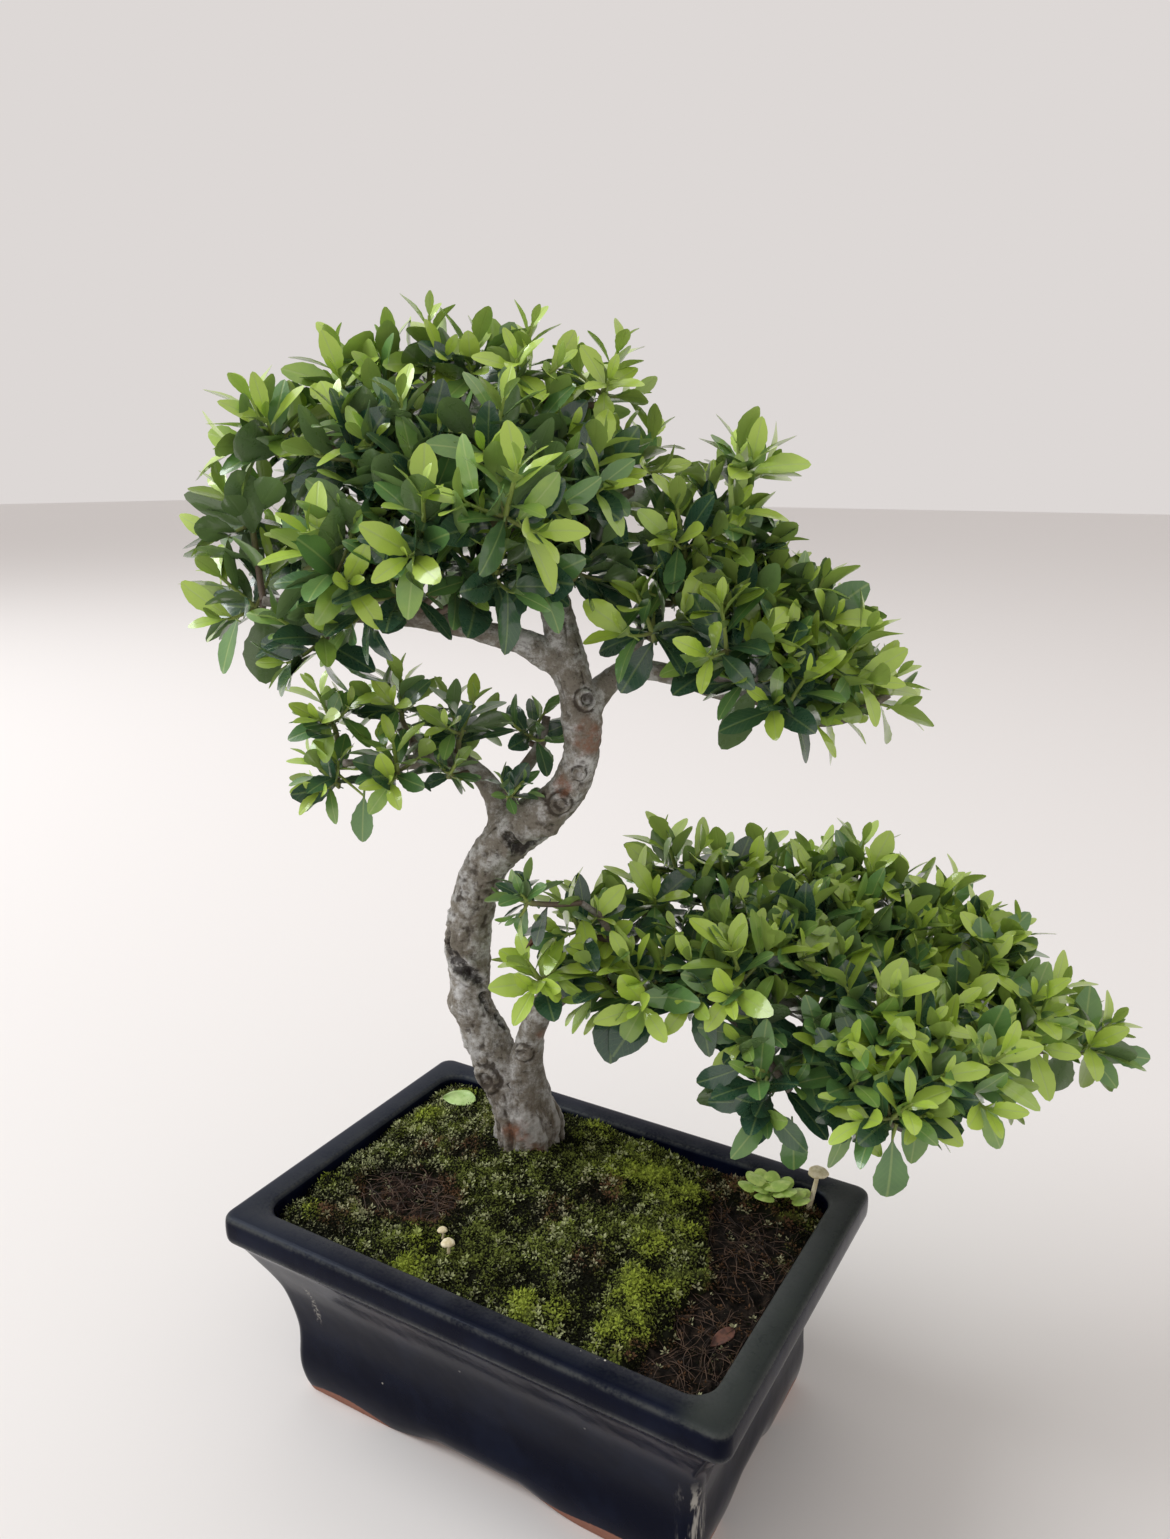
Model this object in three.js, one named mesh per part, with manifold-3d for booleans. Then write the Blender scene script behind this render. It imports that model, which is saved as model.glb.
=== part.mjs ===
// A small-leaved holly grown as a bonsai, in its glazed pot.
// Millimetres, +Z up. The pot's feet stand on z = 0, and the origin is below the middle of the whole.

import * as THREE from "three";
import { mergeVertices } from "three/addons/utils/BufferGeometryUtils.js";
import Module from "manifold-3d";

const wasm = await Module();
wasm.setup();
const { Manifold } = wasm;

// Driving dimensions of the pot. Its long side runs along X.
const CLEARANCE = 0.3; // gap between pieces that touch
const SLIVER = 0.15; // facets finer than this are merged where solids are joined
const POT = {
  length: 210,
  width: 144,
  height: 84,
  outerCorner: 5,
  wellCorner: 9,
  cornerSteps: 2,
  footLength: 40,
  shortFootLength: 28,
  archRise: 5,
  archFullness: 1.6,
  skirtInset: 29,
  undersideHeight: 8,
  drainRadius: 7,
  drainOffset: 45,
};

// Outer face and well of the pot, each as [inset from the rim's edge, height].
const POT_OUTSIDE = [
  [20, 0],
  [18.1, 5.4],
  [17, 13.4],
  [17.6, 24.1],
  [17.3, 32.2],
  [14.3, 47.6],
  [11, 55.6],
  [7.1, 63.2],
  [3.4, 70.6],
  [0.7, 72.8],
  [0, 75],
  [0, 81.8],
  [0.7, 83.4],
  [2.2, 84],
];
const POT_WELL = [
  [25, 14],
  [23, 39],
  [19, 54],
  [13, 72],
  [12, 81.5],
  [11.2, 83.3],
  [9.4, 85],
];

// Plastic mesh plates over the drain holes.
const SCREEN = { side: 24, thickness: 1.2, opening: 6.4, bar: 3.2 };

// Soil: its level at the walls, its fit in the well, and its mounds as [x, y, rise, spread].
const SOIL = { level: 76, ripple: 0.7, fit: 0.35 };
const MOUNDS = [
  [-29, 28, 10, 34],
  [34, -8, 7, 38],
  [-62, -22, 2.5, 30],
  [-70, 42, 3, 26],
];

// The surface's rings as shares of the way from the trunk to the wall, and the wall's splits.
const SURFACE_SHARES = [1, 0.9, 0.74, 0.56, 0.36, 0.12];
const SURFACE_SIDES = { long: 4, short: 3 };

// Moss: how deep its cushions are, how thin its edge is, and how much of the outer ring stays bare.
const MOSS = { least: 1.1, most: 3.6, trimmed: 0.9, fromWall: 0.07 };

// Bare soil: the right end, behind a bowed front, and an oval patch on the left.
const BARE_END = { from: 66, bow: 0.012, middle: -12, back: 44 };
const BARE_PATCH = { x: -54, y: -22, along: 24, across: 17 };

// The tree: where its foot stands in the pot and how far the tree is turned from the pot's long side.
const TREE = { x: -29, y: 28, turn: 30.1 };

// The trunk's foot swells into root ridges.
const FLARE = { ridges: 5, depth: 0.13, top: 14, bottom: -10, fade: 8, turn: 0.6 };

// Sides of the tubes: the trunk, boughs that start thick, other boughs and stems.
const SIDES = { trunk: 10, bough: 6, branch: 4, stem: 3 };
const THICK_BOUGH = 4;

// Trunk and boughs, in the tree's own frame: x to its right, y to its back, z up from the rim.
// Each point is [x, y, z, radius].
const BOUGHS = {
  trunk: [
    [0, 0, -26, 12],
    [0, 0, -8, 15.5],
    [0, 0, 2, 14.8],
    [-1, 0, 14, 13],
    [-5, 1, 32, 11.5],
    [-15, 2, 49, 10.3],
    [-22, 3, 70, 9.2],
    [-23, 5, 92, 8.9],
    [-21, 6, 110, 8.8],
    [-15, 4, 125, 9],
    [-5, 1, 138, 9],
    [6, -2, 146, 8.8],
    [17, -4, 157, 8.3],
    [22, -5, 172, 7.4],
    [21, -4, 188, 7.3],
    [17, -1, 206, 7.4],
    [13, 2, 222, 6.8],
    [10, 4, 236, 6.2],
    [11, 6, 252, 5],
    [15, 7, 268, 4],
    [18, 6, 284, 3.2],
    [20, 4, 298, 2.4],
  ],
  low: [
    [-1, 0, 14, 9],
    [2, -2, 30, 8],
    [4, -4, 46, 6.8],
    [7, -6, 60, 6],
    [14, -9, 73, 5.4],
    [30, -10, 82, 5],
    [49, -10, 82, 4.6],
    [69, -12, 79, 4.2],
    [88, -15, 76, 3.8],
    [107, -20, 73, 3.4],
    [145, -25, 67, 2.8],
    [183, -28, 61, 2.2],
    [206, -28, 60, 1.6],
  ],
  low_front: [[67, -12, 79, 2.8], [80, -30, 74, 2.3], [90, -46, 66, 1.9], [98, -56, 58, 1.4]],
  low_down: [[107, -20, 73, 2.8], [118, -32, 62, 2.3], [130, -42, 48, 1.9], [142, -56, 42, 1.4]],
  low_fore: [[140, -24, 68, 2.6], [156, -42, 62, 2.2], [172, -58, 58, 1.6]],
  low_back: [[80, -13, 77, 2.8], [96, 8, 88, 2.3], [112, 30, 100, 1.8], [126, 42, 106, 1.3]],
  low_rear: [[128, -22, 70, 2.6], [143, 2, 75, 2.2], [158, 18, 80, 1.8], [168, 26, 82, 1.3]],
  low_inner: [[34, -10, 82, 2.6], [44, 6, 92, 2.1], [51, 16, 101, 1.7], [54, 20, 107, 1.3]],
  low_sprout: [[32, -10, 82, 2.4], [33, -17, 97, 1.9], [30, -21, 110, 1.6], [22, -24, 118, 1.3]],
  left: [
    [-6, 1, 137, 6],
    [-10, 5, 145, 4.8],
    [-15, 9, 155, 4.2],
    [-22, 13, 161, 3.8],
    [-33, 17, 164, 3.4],
    [-49, 20, 161, 3],
    [-64, 22, 160, 2.5],
    [-84, 22, 159, 1.6],
  ],
  left_up: [[-8, 4, 141, 3.4], [-5, 8, 155, 2.8], [5, 11, 170, 2.2], [8, 13, 182, 1.6]],
  left_rear: [[-42, 19, 163, 2.4], [-50, 34, 168, 2], [-60, 46, 172, 1.4]],
  left_fore: [[-52, 20, 161, 2.2], [-60, 8, 164, 1.8], [-70, 0, 166, 1.3]],
  crown_left: [
    [15, 0, 205, 6],
    [7, -1, 209, 5.4],
    [-1, -4, 214, 4.8],
    [-11, -8, 217, 4.3],
    [-20, -12, 220, 4],
    [-37, -18, 224, 3.3],
    [-62, -20, 226, 2.6],
    [-92, -18, 230, 1.7],
  ],
  crown_fore: [[-24, -14, 221, 2.8], [-36, -34, 228, 2.3], [-50, -46, 236, 1.5]],
  crown_rear: [[-30, -16, 222, 2.6], [-46, 8, 234, 2.2], [-66, 26, 246, 1.5]],
  crown_high: [[13, 6, 256, 3.4], [-4, 2, 270, 3], [-30, 2, 282, 2.5], [-58, 4, 290, 1.6]],
  crown_front: [[11, 4, 238, 3.2], [6, -16, 250, 2.7], [-4, -36, 258, 2.2], [-16, -48, 262, 1.5]],
  crown_back: [[11, 6, 248, 3.2], [6, 26, 260, 2.7], [-8, 44, 270, 2.1], [-22, 52, 276, 1.5]],
  crown_right: [[11, 6, 244, 3.2], [20, 2, 254, 2.8], [31, 0, 263, 2.2], [40, 4, 268, 1.5]],
  crown_out: [[14, 7, 262, 2.6], [4, -14, 276, 2.1], [-8, -22, 286, 1.4]],
  right: [
    [22, -3, 184, 6],
    [27, 0, 192, 4.9],
    [35, 2, 200, 4.3],
    [44, 2, 202, 4],
    [54, 1, 201, 3.7],
    [71, 0, 196, 3.4],
    [90, -2, 192, 3],
    [105, -4, 185, 2.6],
    [121, -4, 185, 2],
    [138, -2, 194, 1.4],
  ],
  right_up: [[40, 2, 202, 3], [42, 0, 212, 2.6], [46, -4, 222, 2.2], [56, -2, 238, 1.9], [70, 4, 252, 1.3]],
  right_fore: [[64, 0, 198, 2.6], [74, -16, 203, 2.2], [84, -26, 204, 1.5]],
  right_rear: [[76, -1, 195, 2.6], [88, 20, 202, 2.2], [100, 34, 208, 1.5]],
  right_high: [[72, 0, 196, 2.4], [82, 2, 212, 2], [90, 4, 226, 1.4]],
};

// Old pruning scars on the trunk, as [x, y, z, radius].
const KNOTS = [
  [-7, -11, 26, 5],
  [3.5, -9, 40, 4],
  [-31, 1, 84, 4.5],
  [1, -9, 140, 5.5],
  [27, -9, 176, 4],
];

// Leafy shoots in four masses round their hearts. Each is [x, y, z, reach], and a shoot that doesn't
// simply turn up and outwards has the direction that it leans in as three more numbers.
const MASSES = {
  crown: {
    heart: [-35, 0, 245],
    shoots: [
      [-92, -5, 293, 19],
      [-65, 8, 310, 19],
      [-33, 5, 320, 19],
      [2, -5, 316, 20],
      [32, 5, 312, 20],
      [-105, 0, 263, 17],
      [24, -22, 277, 19],
      [-105, -5, 233, 19],
      [-78, -25, 221, 18],
      [-63, -48, 250, 20],
      [-28, -60, 262, 20],
      [0, -64, 270, 20],
      [45, 12, 283, 17],
      [-78, 45, 295, 20],
      [-36, 58, 303, 21],
      [13, 48, 295, 20],
      [-95, 35, 248, 19],
      [-58, -28, 288, 19],
    ],
  },
  right: {
    heart: [85, 0, 195],
    shoots: [
      [80, 15, 280, 16],
      [44, -22, 228, 18],
      [72, -26, 223, 19],
      [121, -10, 212, 19],
      [99, -22, 199, 18],
      [138, 5, 196, 14],
      [85, 38, 233, 19],
      [124, 34, 210, 17],
    ],
  },
  left: {
    heart: [-50, 20, 160],
    shoots: [
      [-81, 20, 185, 16],
      [-51, 25, 190, 17],
      [-82, 15, 160, 15],
      [-50, 0, 169, 17],
      [-23, 12, 183, 17],
      [-38, 45, 165, 16],
    ],
  },
  low: {
    heart: [110, -12, 70],
    shoots: [
      [4, -28, 86, 18],
      [29, -5, 104, 18],
      [59, 24, 123, 17],
      [44, -32, 92, 18],
      [79, -38, 101, 19],
      [98, 32, 115, 18],
      [140, 34, 115, 19],
      [179, 32, 98, 19],
      [194, 5, 89, 19],
      [131, -45, 87, 20],
      [226, -15, 60, 16],
      [165, -62, 72, 21],
      [88, -52, 60, 17],
      [132, -78, 64, 17],
      [-2, -29, 122, 10, -1, 0, 0.15],
    ],
  },
};

// Single leaves that hang or reach out from a spray, as [x, y, z] of the leaf's foot and the way it points.
const TRAILERS = {
  spray_left_03: [-64, 6, 151, -0.1, 0, -1],
  spray_low_11: [228, -20, 55, 1, 0, -0.18],
  spray_low_13: [99, -58, 46, 0.1, 0, -1],
  spray_low_14: [130, -68, 49, 0, 0, -1],
};
const TRAILER_LEAF = { length: 20, width: 10, face: [0, -1, 0.3] };

// What lies or grows on the soil, with its [x, y] in the pot.
const SEEDLINGS = {
  at: [69, 49],
  leaves: 6,
  leafRadius: 3.6,
  leafThickness: 0.8,
  height: 8.6,
  spread: 14,
  squash: 0.62,
};
const MUSHROOMS = {
  corner: { at: [84, 52], cap: 4, height: 15, lean: [3, 6] },
  near: { at: [-19, -42], cap: 2.6, height: 5, lean: [0, 0] },
  far: { at: [-26, -37], cap: 1.9, height: 4, lean: [0.4, 0.4] },
};
const FALLEN_LEAVES = {
  pale: { at: [-75, 41], length: 15, width: 8, turn: 0.35, rise: 0.12 },
  brown: { at: [84, -28], length: 12, width: 5, turn: 1.2, rise: 0.12 },
};
const DROP = 20; // height above the rim from which what lies on the soil is lowered

// A withered leaf that hangs from the sprout, as its foot, its bend and its tip with their radii.
const DRY_LEAF = [
  [9, -27.5, 117, 0.5],
  [7, -27, 108.5, 1.6],
  [1, -26.5, 100, 0.6],
];

// Leaves along a shoot stand at the golden angle, closest together at its tip.
const GOLDEN_ANGLE = THREE.MathUtils.degToRad(137.5);
const SHOOT = { side: 3, leaderLeaves: 11, sideLeaves: 9, step: 2.3 };
const LEAF = {
  youngest: 12.5,
  oldest: 21.5,
  growing: 4,
  thickness: 0.7,
  sag: 0.16,
  slender: 0.44,
  cup: 0.1,
  skyward: 0.7,
};

// A blade's outline as [share of its length, half width as a share of its width].
const BLADE_STATIONS = [[0, 0], [0.4, 0.44], [0.76, 0.46], [1, 0]];
const STEM = { base: 1.6, neck: 1.3, tip: 0.8, sideBase: 1, sideTip: 0.7 };

// Which leaves of the leader and of the side shoots are grown, counted back from the shoot's tip.
const LEADER_PICKS = [0, 3, 6];
const SIDE_PICKS = [[0, 3], [3]];

// A branchlet springs from wood no thicker than this. Higher wood counts as further off.
const SPRING = { thickest: 5.2, climb: 0.6, choices: 20, attempts: 60, settles: 8, swing: 0.6, widest: 12 };

// Turns in degrees that are tried in order until a leaf is clear of the other sprays.
const BENDS = [0, 14, -14, 28, -28, 42, -42];

const vec = (list) => new THREE.Vector3(list[0], list[1], list[2]);
const mix = (a, b, share) => a.clone().lerp(b, share);
const up = new THREE.Vector3(0, 0, 1);

// A repeatable draw from 0 to 1 for three whole numbers.
function draw(a, b, c) {
  const wave = Math.sin(a * 12.9898 + b * 78.233 + c * 37.719) * 43758.5453;
  return wave - Math.floor(wave);
}

// Solids joined in one, without the slivers that lie closer than a tolerance to its surface.
function joined(solids, tolerance) {
  return Manifold.union(solids).asOriginal().simplify(tolerance);
}

// A closed geometry as a solid that can be joined and cut.
function solidOf(geometry) {
  const bare = geometry.clone();
  bare.deleteAttribute("normal");
  bare.deleteAttribute("uv");
  const merged = mergeVertices(bare);
  return new Manifold(
    new wasm.Mesh({
      numProp: 3,
      vertProperties: new Float32Array(merged.attributes.position.array),
      triVerts: new Uint32Array(merged.index.array),
    }),
  );
}

// A solid as a geometry to show.
function geometryOf(solid) {
  const mesh = solid.getMesh();
  const geometry = new THREE.BufferGeometry();
  geometry.setAttribute("position", new THREE.BufferAttribute(mesh.vertProperties, 3));
  geometry.setIndex(new THREE.BufferAttribute(mesh.triVerts, 1));
  geometry.computeVertexNormals();
  return geometry;
}

function indexed(points, faces) {
  const geometry = new THREE.BufferGeometry().setFromPoints(points);
  geometry.setIndex(faces);
  return geometry;
}

// A closed skin over rings of points that run anticlockwise about the way they follow each other.
function loft(rings) {
  const count = rings[0].length;
  const faces = [];
  for (let row = 0; row < rings.length - 1; row++) {
    for (let k = 0; k < count; k++) {
      const next = (k + 1) % count;
      const a = row * count + k;
      const b = row * count + next;
      faces.push(a, b, b + count, a, b + count, a + count);
    }
  }
  const last = (rings.length - 1) * count;
  for (let k = 1; k < count - 1; k++) {
    faces.push(0, k + 1, k);
    faces.push(last, last + k, last + k + 1);
  }
  return indexed(rings.flat(), faces);
}

// A rounded rectangle inside the rim's outline, with its straight sides split as told.
function roundedRing(inset, corner, height, sides = { long: 1, short: 1 }) {
  const x = POT.length / 2 - inset - corner;
  const y = POT.width / 2 - inset - corner;
  const centres = [[x, y], [-x, y], [-x, -y], [x, -y]];
  const ring = [];
  centres.forEach(([cx, cy], quarter) => {
    for (let i = 0; i <= POT.cornerSteps; i++) {
      const angle = ((quarter + i / POT.cornerSteps) * Math.PI) / 2;
      ring.push(vec([cx + corner * Math.cos(angle), cy + corner * Math.sin(angle), height]));
    }
    const from = ring[ring.length - 1];
    const [nx, ny] = centres[(quarter + 1) % 4];
    const turn = ((quarter + 1) * Math.PI) / 2;
    const to = vec([nx + corner * Math.cos(turn), ny + corner * Math.sin(turn), height]);
    const parts = quarter % 2 ? sides.short : sides.long;
    for (let i = 1; i < parts; i++) ring.push(mix(from, to, i / parts));
  });
  return ring;
}

// The gap under one side of the pot between two feet, as a prism along Y.
function archSolid(span) {
  const shape = new THREE.Shape();
  const steps = 8;
  shape.moveTo(-span / 2, -1);
  shape.lineTo(span / 2, -1);
  for (let i = 0; i <= steps; i++) {
    const x = span / 2 - (span * i) / steps;
    const rise = (POT.archRise * (1 + Math.cos((2 * Math.PI * x) / span))) / 2;
    shape.lineTo(x, Math.min(rise * POT.archFullness, POT.archRise));
  }
  const prism = new THREE.ExtrudeGeometry(shape, { depth: POT.length, bevelEnabled: false });
  return prism.translate(0, 0, -POT.length / 2).rotateX(Math.PI / 2);
}

function makePot() {
  const shell = loft(POT_OUTSIDE.map(([inset, z]) => roundedRing(inset, POT.outerCorner, z)));
  const well = loft(POT_WELL.map(([inset, z]) => roundedRing(inset, POT.wellCorner, z)));
  const hollow = loft([-1, POT.undersideHeight].map((z) => roundedRing(POT.skirtInset, POT.wellCorner, z)));
  const bottomInset = POT_OUTSIDE[0][0];
  const longArch = archSolid(POT.length - 2 * (bottomInset + POT.footLength));
  const shortArch = archSolid(POT.width - 2 * (bottomInset + POT.shortFootLength)).rotateZ(Math.PI / 2);
  const drains = [-1, 1].map((side) =>
    new THREE.CylinderGeometry(POT.drainRadius, POT.drainRadius, 20, 16)
      .rotateX(Math.PI / 2)
      .translate(side * POT.drainOffset, 0, 10),
  );
  const cuts = [well, hollow, longArch, shortArch, ...drains].map(solidOf);
  return cuts.reduce((pot, cut) => pot.subtract(cut), solidOf(shell));
}

// A plate with four openings, laid over one drain hole.
function makeScreen(side) {
  const z = POT_WELL[0][1] + CLEARANCE + SCREEN.thickness / 2;
  const x = side * POT.drainOffset;
  const block = (width, height, dx, dy) =>
    solidOf(new THREE.BoxGeometry(width, width, height).translate(x + dx, dy, z));
  const middle = (SCREEN.bar + SCREEN.opening) / 2;
  const corners = [[1, 1], [-1, 1], [-1, -1], [1, -1]];
  return corners
    .map(([sx, sy]) => block(SCREEN.opening, 2 * SCREEN.thickness, sx * middle, sy * middle))
    .reduce((plate, opening) => plate.subtract(opening), block(SCREEN.side, SCREEN.thickness, 0, 0));
}

// How far in from the rim's edge the well's wall stands at a height.
function wellInset(height) {
  const row = POT_WELL.findIndex(([, z]) => z >= height);
  const [insetAbove, above] = POT_WELL[row];
  const [insetBelow, below] = POT_WELL[Math.max(row - 1, 0)];
  const share = above === below ? 0 : (height - below) / (above - below);
  return insetBelow + (insetAbove - insetBelow) * share;
}

// The soil's height at a place: its level, a slight ripple and the mounds.
function groundHeight(x, y) {
  let height = SOIL.level + SOIL.ripple * Math.sin(0.11 * x + 1) * Math.cos(0.13 * y);
  for (const [mx, my, rise, spread] of MOUNDS) {
    const away = ((x - mx) ** 2 + (y - my) ** 2) / spread ** 2;
    height += rise * Math.exp(-away);
  }
  return height;
}

// The soil's surface as rings from the wall in to the trunk, each point under its own spoke.
function surfaceRings() {
  const inset = wellInset(SOIL.level) + SOIL.fit;
  const wall = roundedRing(inset, POT.wellCorner - SOIL.fit, 0, SURFACE_SIDES);
  return SURFACE_SHARES.map((share) =>
    wall.map((edge) => {
      const x = TREE.x + (edge.x - TREE.x) * share;
      const y = TREE.y + (edge.y - TREE.y) * share;
      return vec([x, y, groundHeight(x, y)]);
    }),
  );
}

function makeSoil(trunkHole) {
  const floor = POT_WELL[0][1] + CLEARANCE;
  const heights = [floor, ...POT_WELL.slice(1, 4).map(([, z]) => z)];
  const wall = heights.map((z) =>
    roundedRing(wellInset(z) + SOIL.fit, POT.wellCorner - SOIL.fit, z, SURFACE_SIDES),
  );
  const body = solidOf(loft([...wall, ...surfaceRings()]));
  const pocketSide = SCREEN.side + 2 * CLEARANCE;
  const pocketDepth = 2 * (SCREEN.thickness + CLEARANCE);
  const pockets = [-1, 1].map((side) => {
    const block = new THREE.BoxGeometry(pocketSide, pocketSide, pocketDepth);
    return solidOf(block.translate(side * POT.drainOffset, 0, floor));
  });
  return [trunkHole, ...pockets].reduce((soil, cut) => soil.subtract(cut), body);
}

// Whether moss grows at a place.
function isMossy(x, y) {
  const inEnd = x > BARE_END.from - BARE_END.bow * (y - BARE_END.middle) ** 2 && y < BARE_END.back;
  const along = (x - BARE_PATCH.x) / BARE_PATCH.along;
  const across = (y - BARE_PATCH.y) / BARE_PATCH.across;
  return !inEnd && along ** 2 + across ** 2 >= 1;
}

// A low carpet of cushions that follows the soil's facets.
function makeMoss(trunkHole) {
  const rings = surfaceRings();
  const count = rings[0].length;
  const under = [];
  const over = [];
  rings.forEach((ring, row) =>
    ring.forEach((point, k) => {
      const depth = MOSS.least + (MOSS.most - MOSS.least) * draw(row, k, 1);
      const foot = row ? point.clone() : mix(point, rings[1][k], MOSS.fromWall);
      foot.z += CLEARANCE;
      under.push(foot);
      over.push(foot.clone().setZ(foot.z + (row ? depth : MOSS.trimmed)));
    }),
  );
  const faces = [];
  const edges = new Map();
  for (let row = 0; row < rings.length - 1; row++) {
    for (let k = 0; k < count; k++) {
      const next = (k + 1) % count;
      const corners = [row * count + k, row * count + next, (row + 1) * count + next, (row + 1) * count + k];
      const centre = corners.reduce((sum, i) => sum.add(over[i]), new THREE.Vector3()).divideScalar(4);
      if (!isMossy(centre.x, centre.y)) continue;
      const [a, b, c, d] = corners;
      const lift = over.length;
      faces.push(a + lift, b + lift, c + lift, a + lift, c + lift, d + lift);
      faces.push(a, c, b, a, d, c);
      corners.forEach((from, i) => {
        const to = corners[(i + 1) % 4];
        if (edges.has(`${to}:${from}`)) edges.delete(`${to}:${from}`);
        else edges.set(`${from}:${to}`, [from, to]);
      });
    }
  }
  for (const [from, to] of edges.values()) {
    const lift = over.length;
    faces.push(from, to, to + lift, from, to + lift, from + lift);
  }
  return solidOf(indexed([...under, ...over], faces)).subtract(trunkHole);
}

// A smooth run through listed points, as samples of a point and a radius.
function samplesAlong(listed, perSpan) {
  const curve = new THREE.CatmullRomCurve3(listed.map(vec), false, "catmullrom", 0.5);
  const spans = listed.length - 1;
  const samples = [];
  for (let i = 0; i <= spans * perSpan; i++) {
    const span = Math.min(Math.floor(i / perSpan), spans - 1);
    const share = i / perSpan - span;
    const radius = THREE.MathUtils.lerp(listed[span][3], listed[span + 1][3], share);
    samples.push({ point: curve.getPoint(i / (spans * perSpan)), radius });
  }
  return samples;
}

function perpendicular(along) {
  const aside = Math.abs(along.z) < 0.9 ? up : new THREE.Vector3(1, 0, 0);
  return along.clone().cross(aside).normalize();
}

// A tube with flat ends round a run of samples. swell(angle, height) makes it thicker.
function tube(samples, sides, swell = () => 1) {
  let across = null;
  const rings = samples.map(({ point, radius }, i) => {
    const before = samples[Math.max(i - 1, 0)].point;
    const after = samples[Math.min(i + 1, samples.length - 1)].point;
    const along = after.clone().sub(before).normalize();
    across = across ? across.clone() : perpendicular(along);
    across.addScaledVector(along, -across.dot(along)).normalize();
    const over = along.clone().cross(across);
    return Array.from({ length: sides }, (_, k) => {
      const angle = (2 * Math.PI * k) / sides;
      const reach = radius * swell(angle, point.z);
      const spoke = across.clone().multiplyScalar(reach * Math.cos(angle));
      return spoke.addScaledVector(over, reach * Math.sin(angle)).add(point);
    });
  });
  return loft(rings);
}

// How much the root ridges thicken the trunk, which fades out above and below them.
function rootSwell(angle, height) {
  const share = THREE.MathUtils.smoothstep(height, FLARE.bottom - FLARE.fade, FLARE.bottom);
  const fade = 1 - THREE.MathUtils.smoothstep(height, FLARE.bottom + FLARE.fade, FLARE.top);
  return 1 + FLARE.depth * share * fade * Math.cos(FLARE.ridges * angle + FLARE.turn);
}

// The trunk grown by a margin, which cuts its plain hole in the soil.
function trunkSolid(margin) {
  const samples = samplesAlong(BOUGHS.trunk, 1);
  for (const sample of samples) sample.radius += margin;
  samples[0].point.z -= margin;
  return solidOf(tube(samples, SIDES.trunk, rootSwell));
}

function makeWood() {
  const boughs = Object.entries(BOUGHS)
    .filter(([name]) => name !== "trunk")
    .map(([, listed]) => {
      const sides = listed[0][3] > THICK_BOUGH ? SIDES.bough : SIDES.branch;
      return solidOf(tube(samplesAlong(listed, 1), sides));
    });
  const knots = KNOTS.map(([x, y, z, radius]) =>
    solidOf(new THREE.IcosahedronGeometry(radius, 0).translate(x, y, z)),
  );
  return joined([trunkSolid(0), ...boughs, ...knots], SLIVER);
}

// Every place on the thinner wood that a branchlet can spring from.
function makeSprings() {
  const springs = [];
  for (const listed of Object.values(BOUGHS)) {
    const samples = samplesAlong(listed, 4);
    samples.forEach((sample, i) => {
      if (sample.radius >= SPRING.thickest) return;
      const before = samples[Math.max(i - 1, 0)].point;
      const after = samples[Math.min(i + 1, samples.length - 1)].point;
      springs.push({ ...sample, along: after.clone().sub(before).normalize() });
    });
  }
  return springs;
}

// The places nearest a point, where one that lies higher counts as further away.
function nearestSprings(springs, point) {
  const ranked = springs.map((spring) => {
    const climb = Math.max(0, spring.point.z - point.z);
    return { spring, reach: spring.point.distanceTo(point) + SPRING.climb * climb };
  });
  ranked.sort((a, b) => a.reach - b.reach);
  return ranked.slice(0, SPRING.choices).map(({ spring }) => spring);
}

const bezier = (p, c, q, t) => mix(mix(p, c, t), mix(c, q, t), t);
const bezierWay = (p, c, q, t) => mix(c.clone().sub(p), q.clone().sub(c), t).normalize();

// The shoots of one spray: a leader that ends the branchlet, and side shoots round it.
function shootsOf(number, heart, [x, y, z, reach, ...lean]) {
  const centre = vec([x, y, z]);
  const fromHeart = centre.clone().sub(vec(heart)).normalize();
  const outward = lean.length ? vec(lean) : fromHeart.multiplyScalar(0.8).addScaledVector(up, 0.75);
  outward.normalize();
  const neck = centre.clone().addScaledVector(outward, -0.55 * reach);
  neck.z -= 0.15 * reach;
  const across = perpendicular(outward);
  const over = outward.clone().cross(across);
  const tip = centre.clone().addScaledVector(outward, 0.35 * reach);
  const shoots = [{ order: 0, from: neck, bow: mix(neck, centre, 0.6), to: tip, leaves: SHOOT.leaderLeaves }];
  for (let k = 0; k < SHOOT.side; k++) {
    const angle = (2 * Math.PI * (k + 0.6 * draw(number, k, 3))) / SHOOT.side + number;
    const spoke = across.clone().multiplyScalar(Math.cos(angle)).addScaledVector(over, Math.sin(angle));
    const end = centre.clone().addScaledVector(spoke, 0.72 * reach);
    end.addScaledVector(outward, -reach * (0.05 + 0.3 * draw(number, k, 5)));
    const start = mix(neck, centre, 0.25);
    const bow = mix(start, end, 0.5).addScaledVector(spoke, 0.22 * reach);
    shoots.push({ order: k + 1, from: start, bow, to: end, leaves: SHOOT.sideLeaves });
  }
  return { number, outward, neck, shoots };
}

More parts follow.
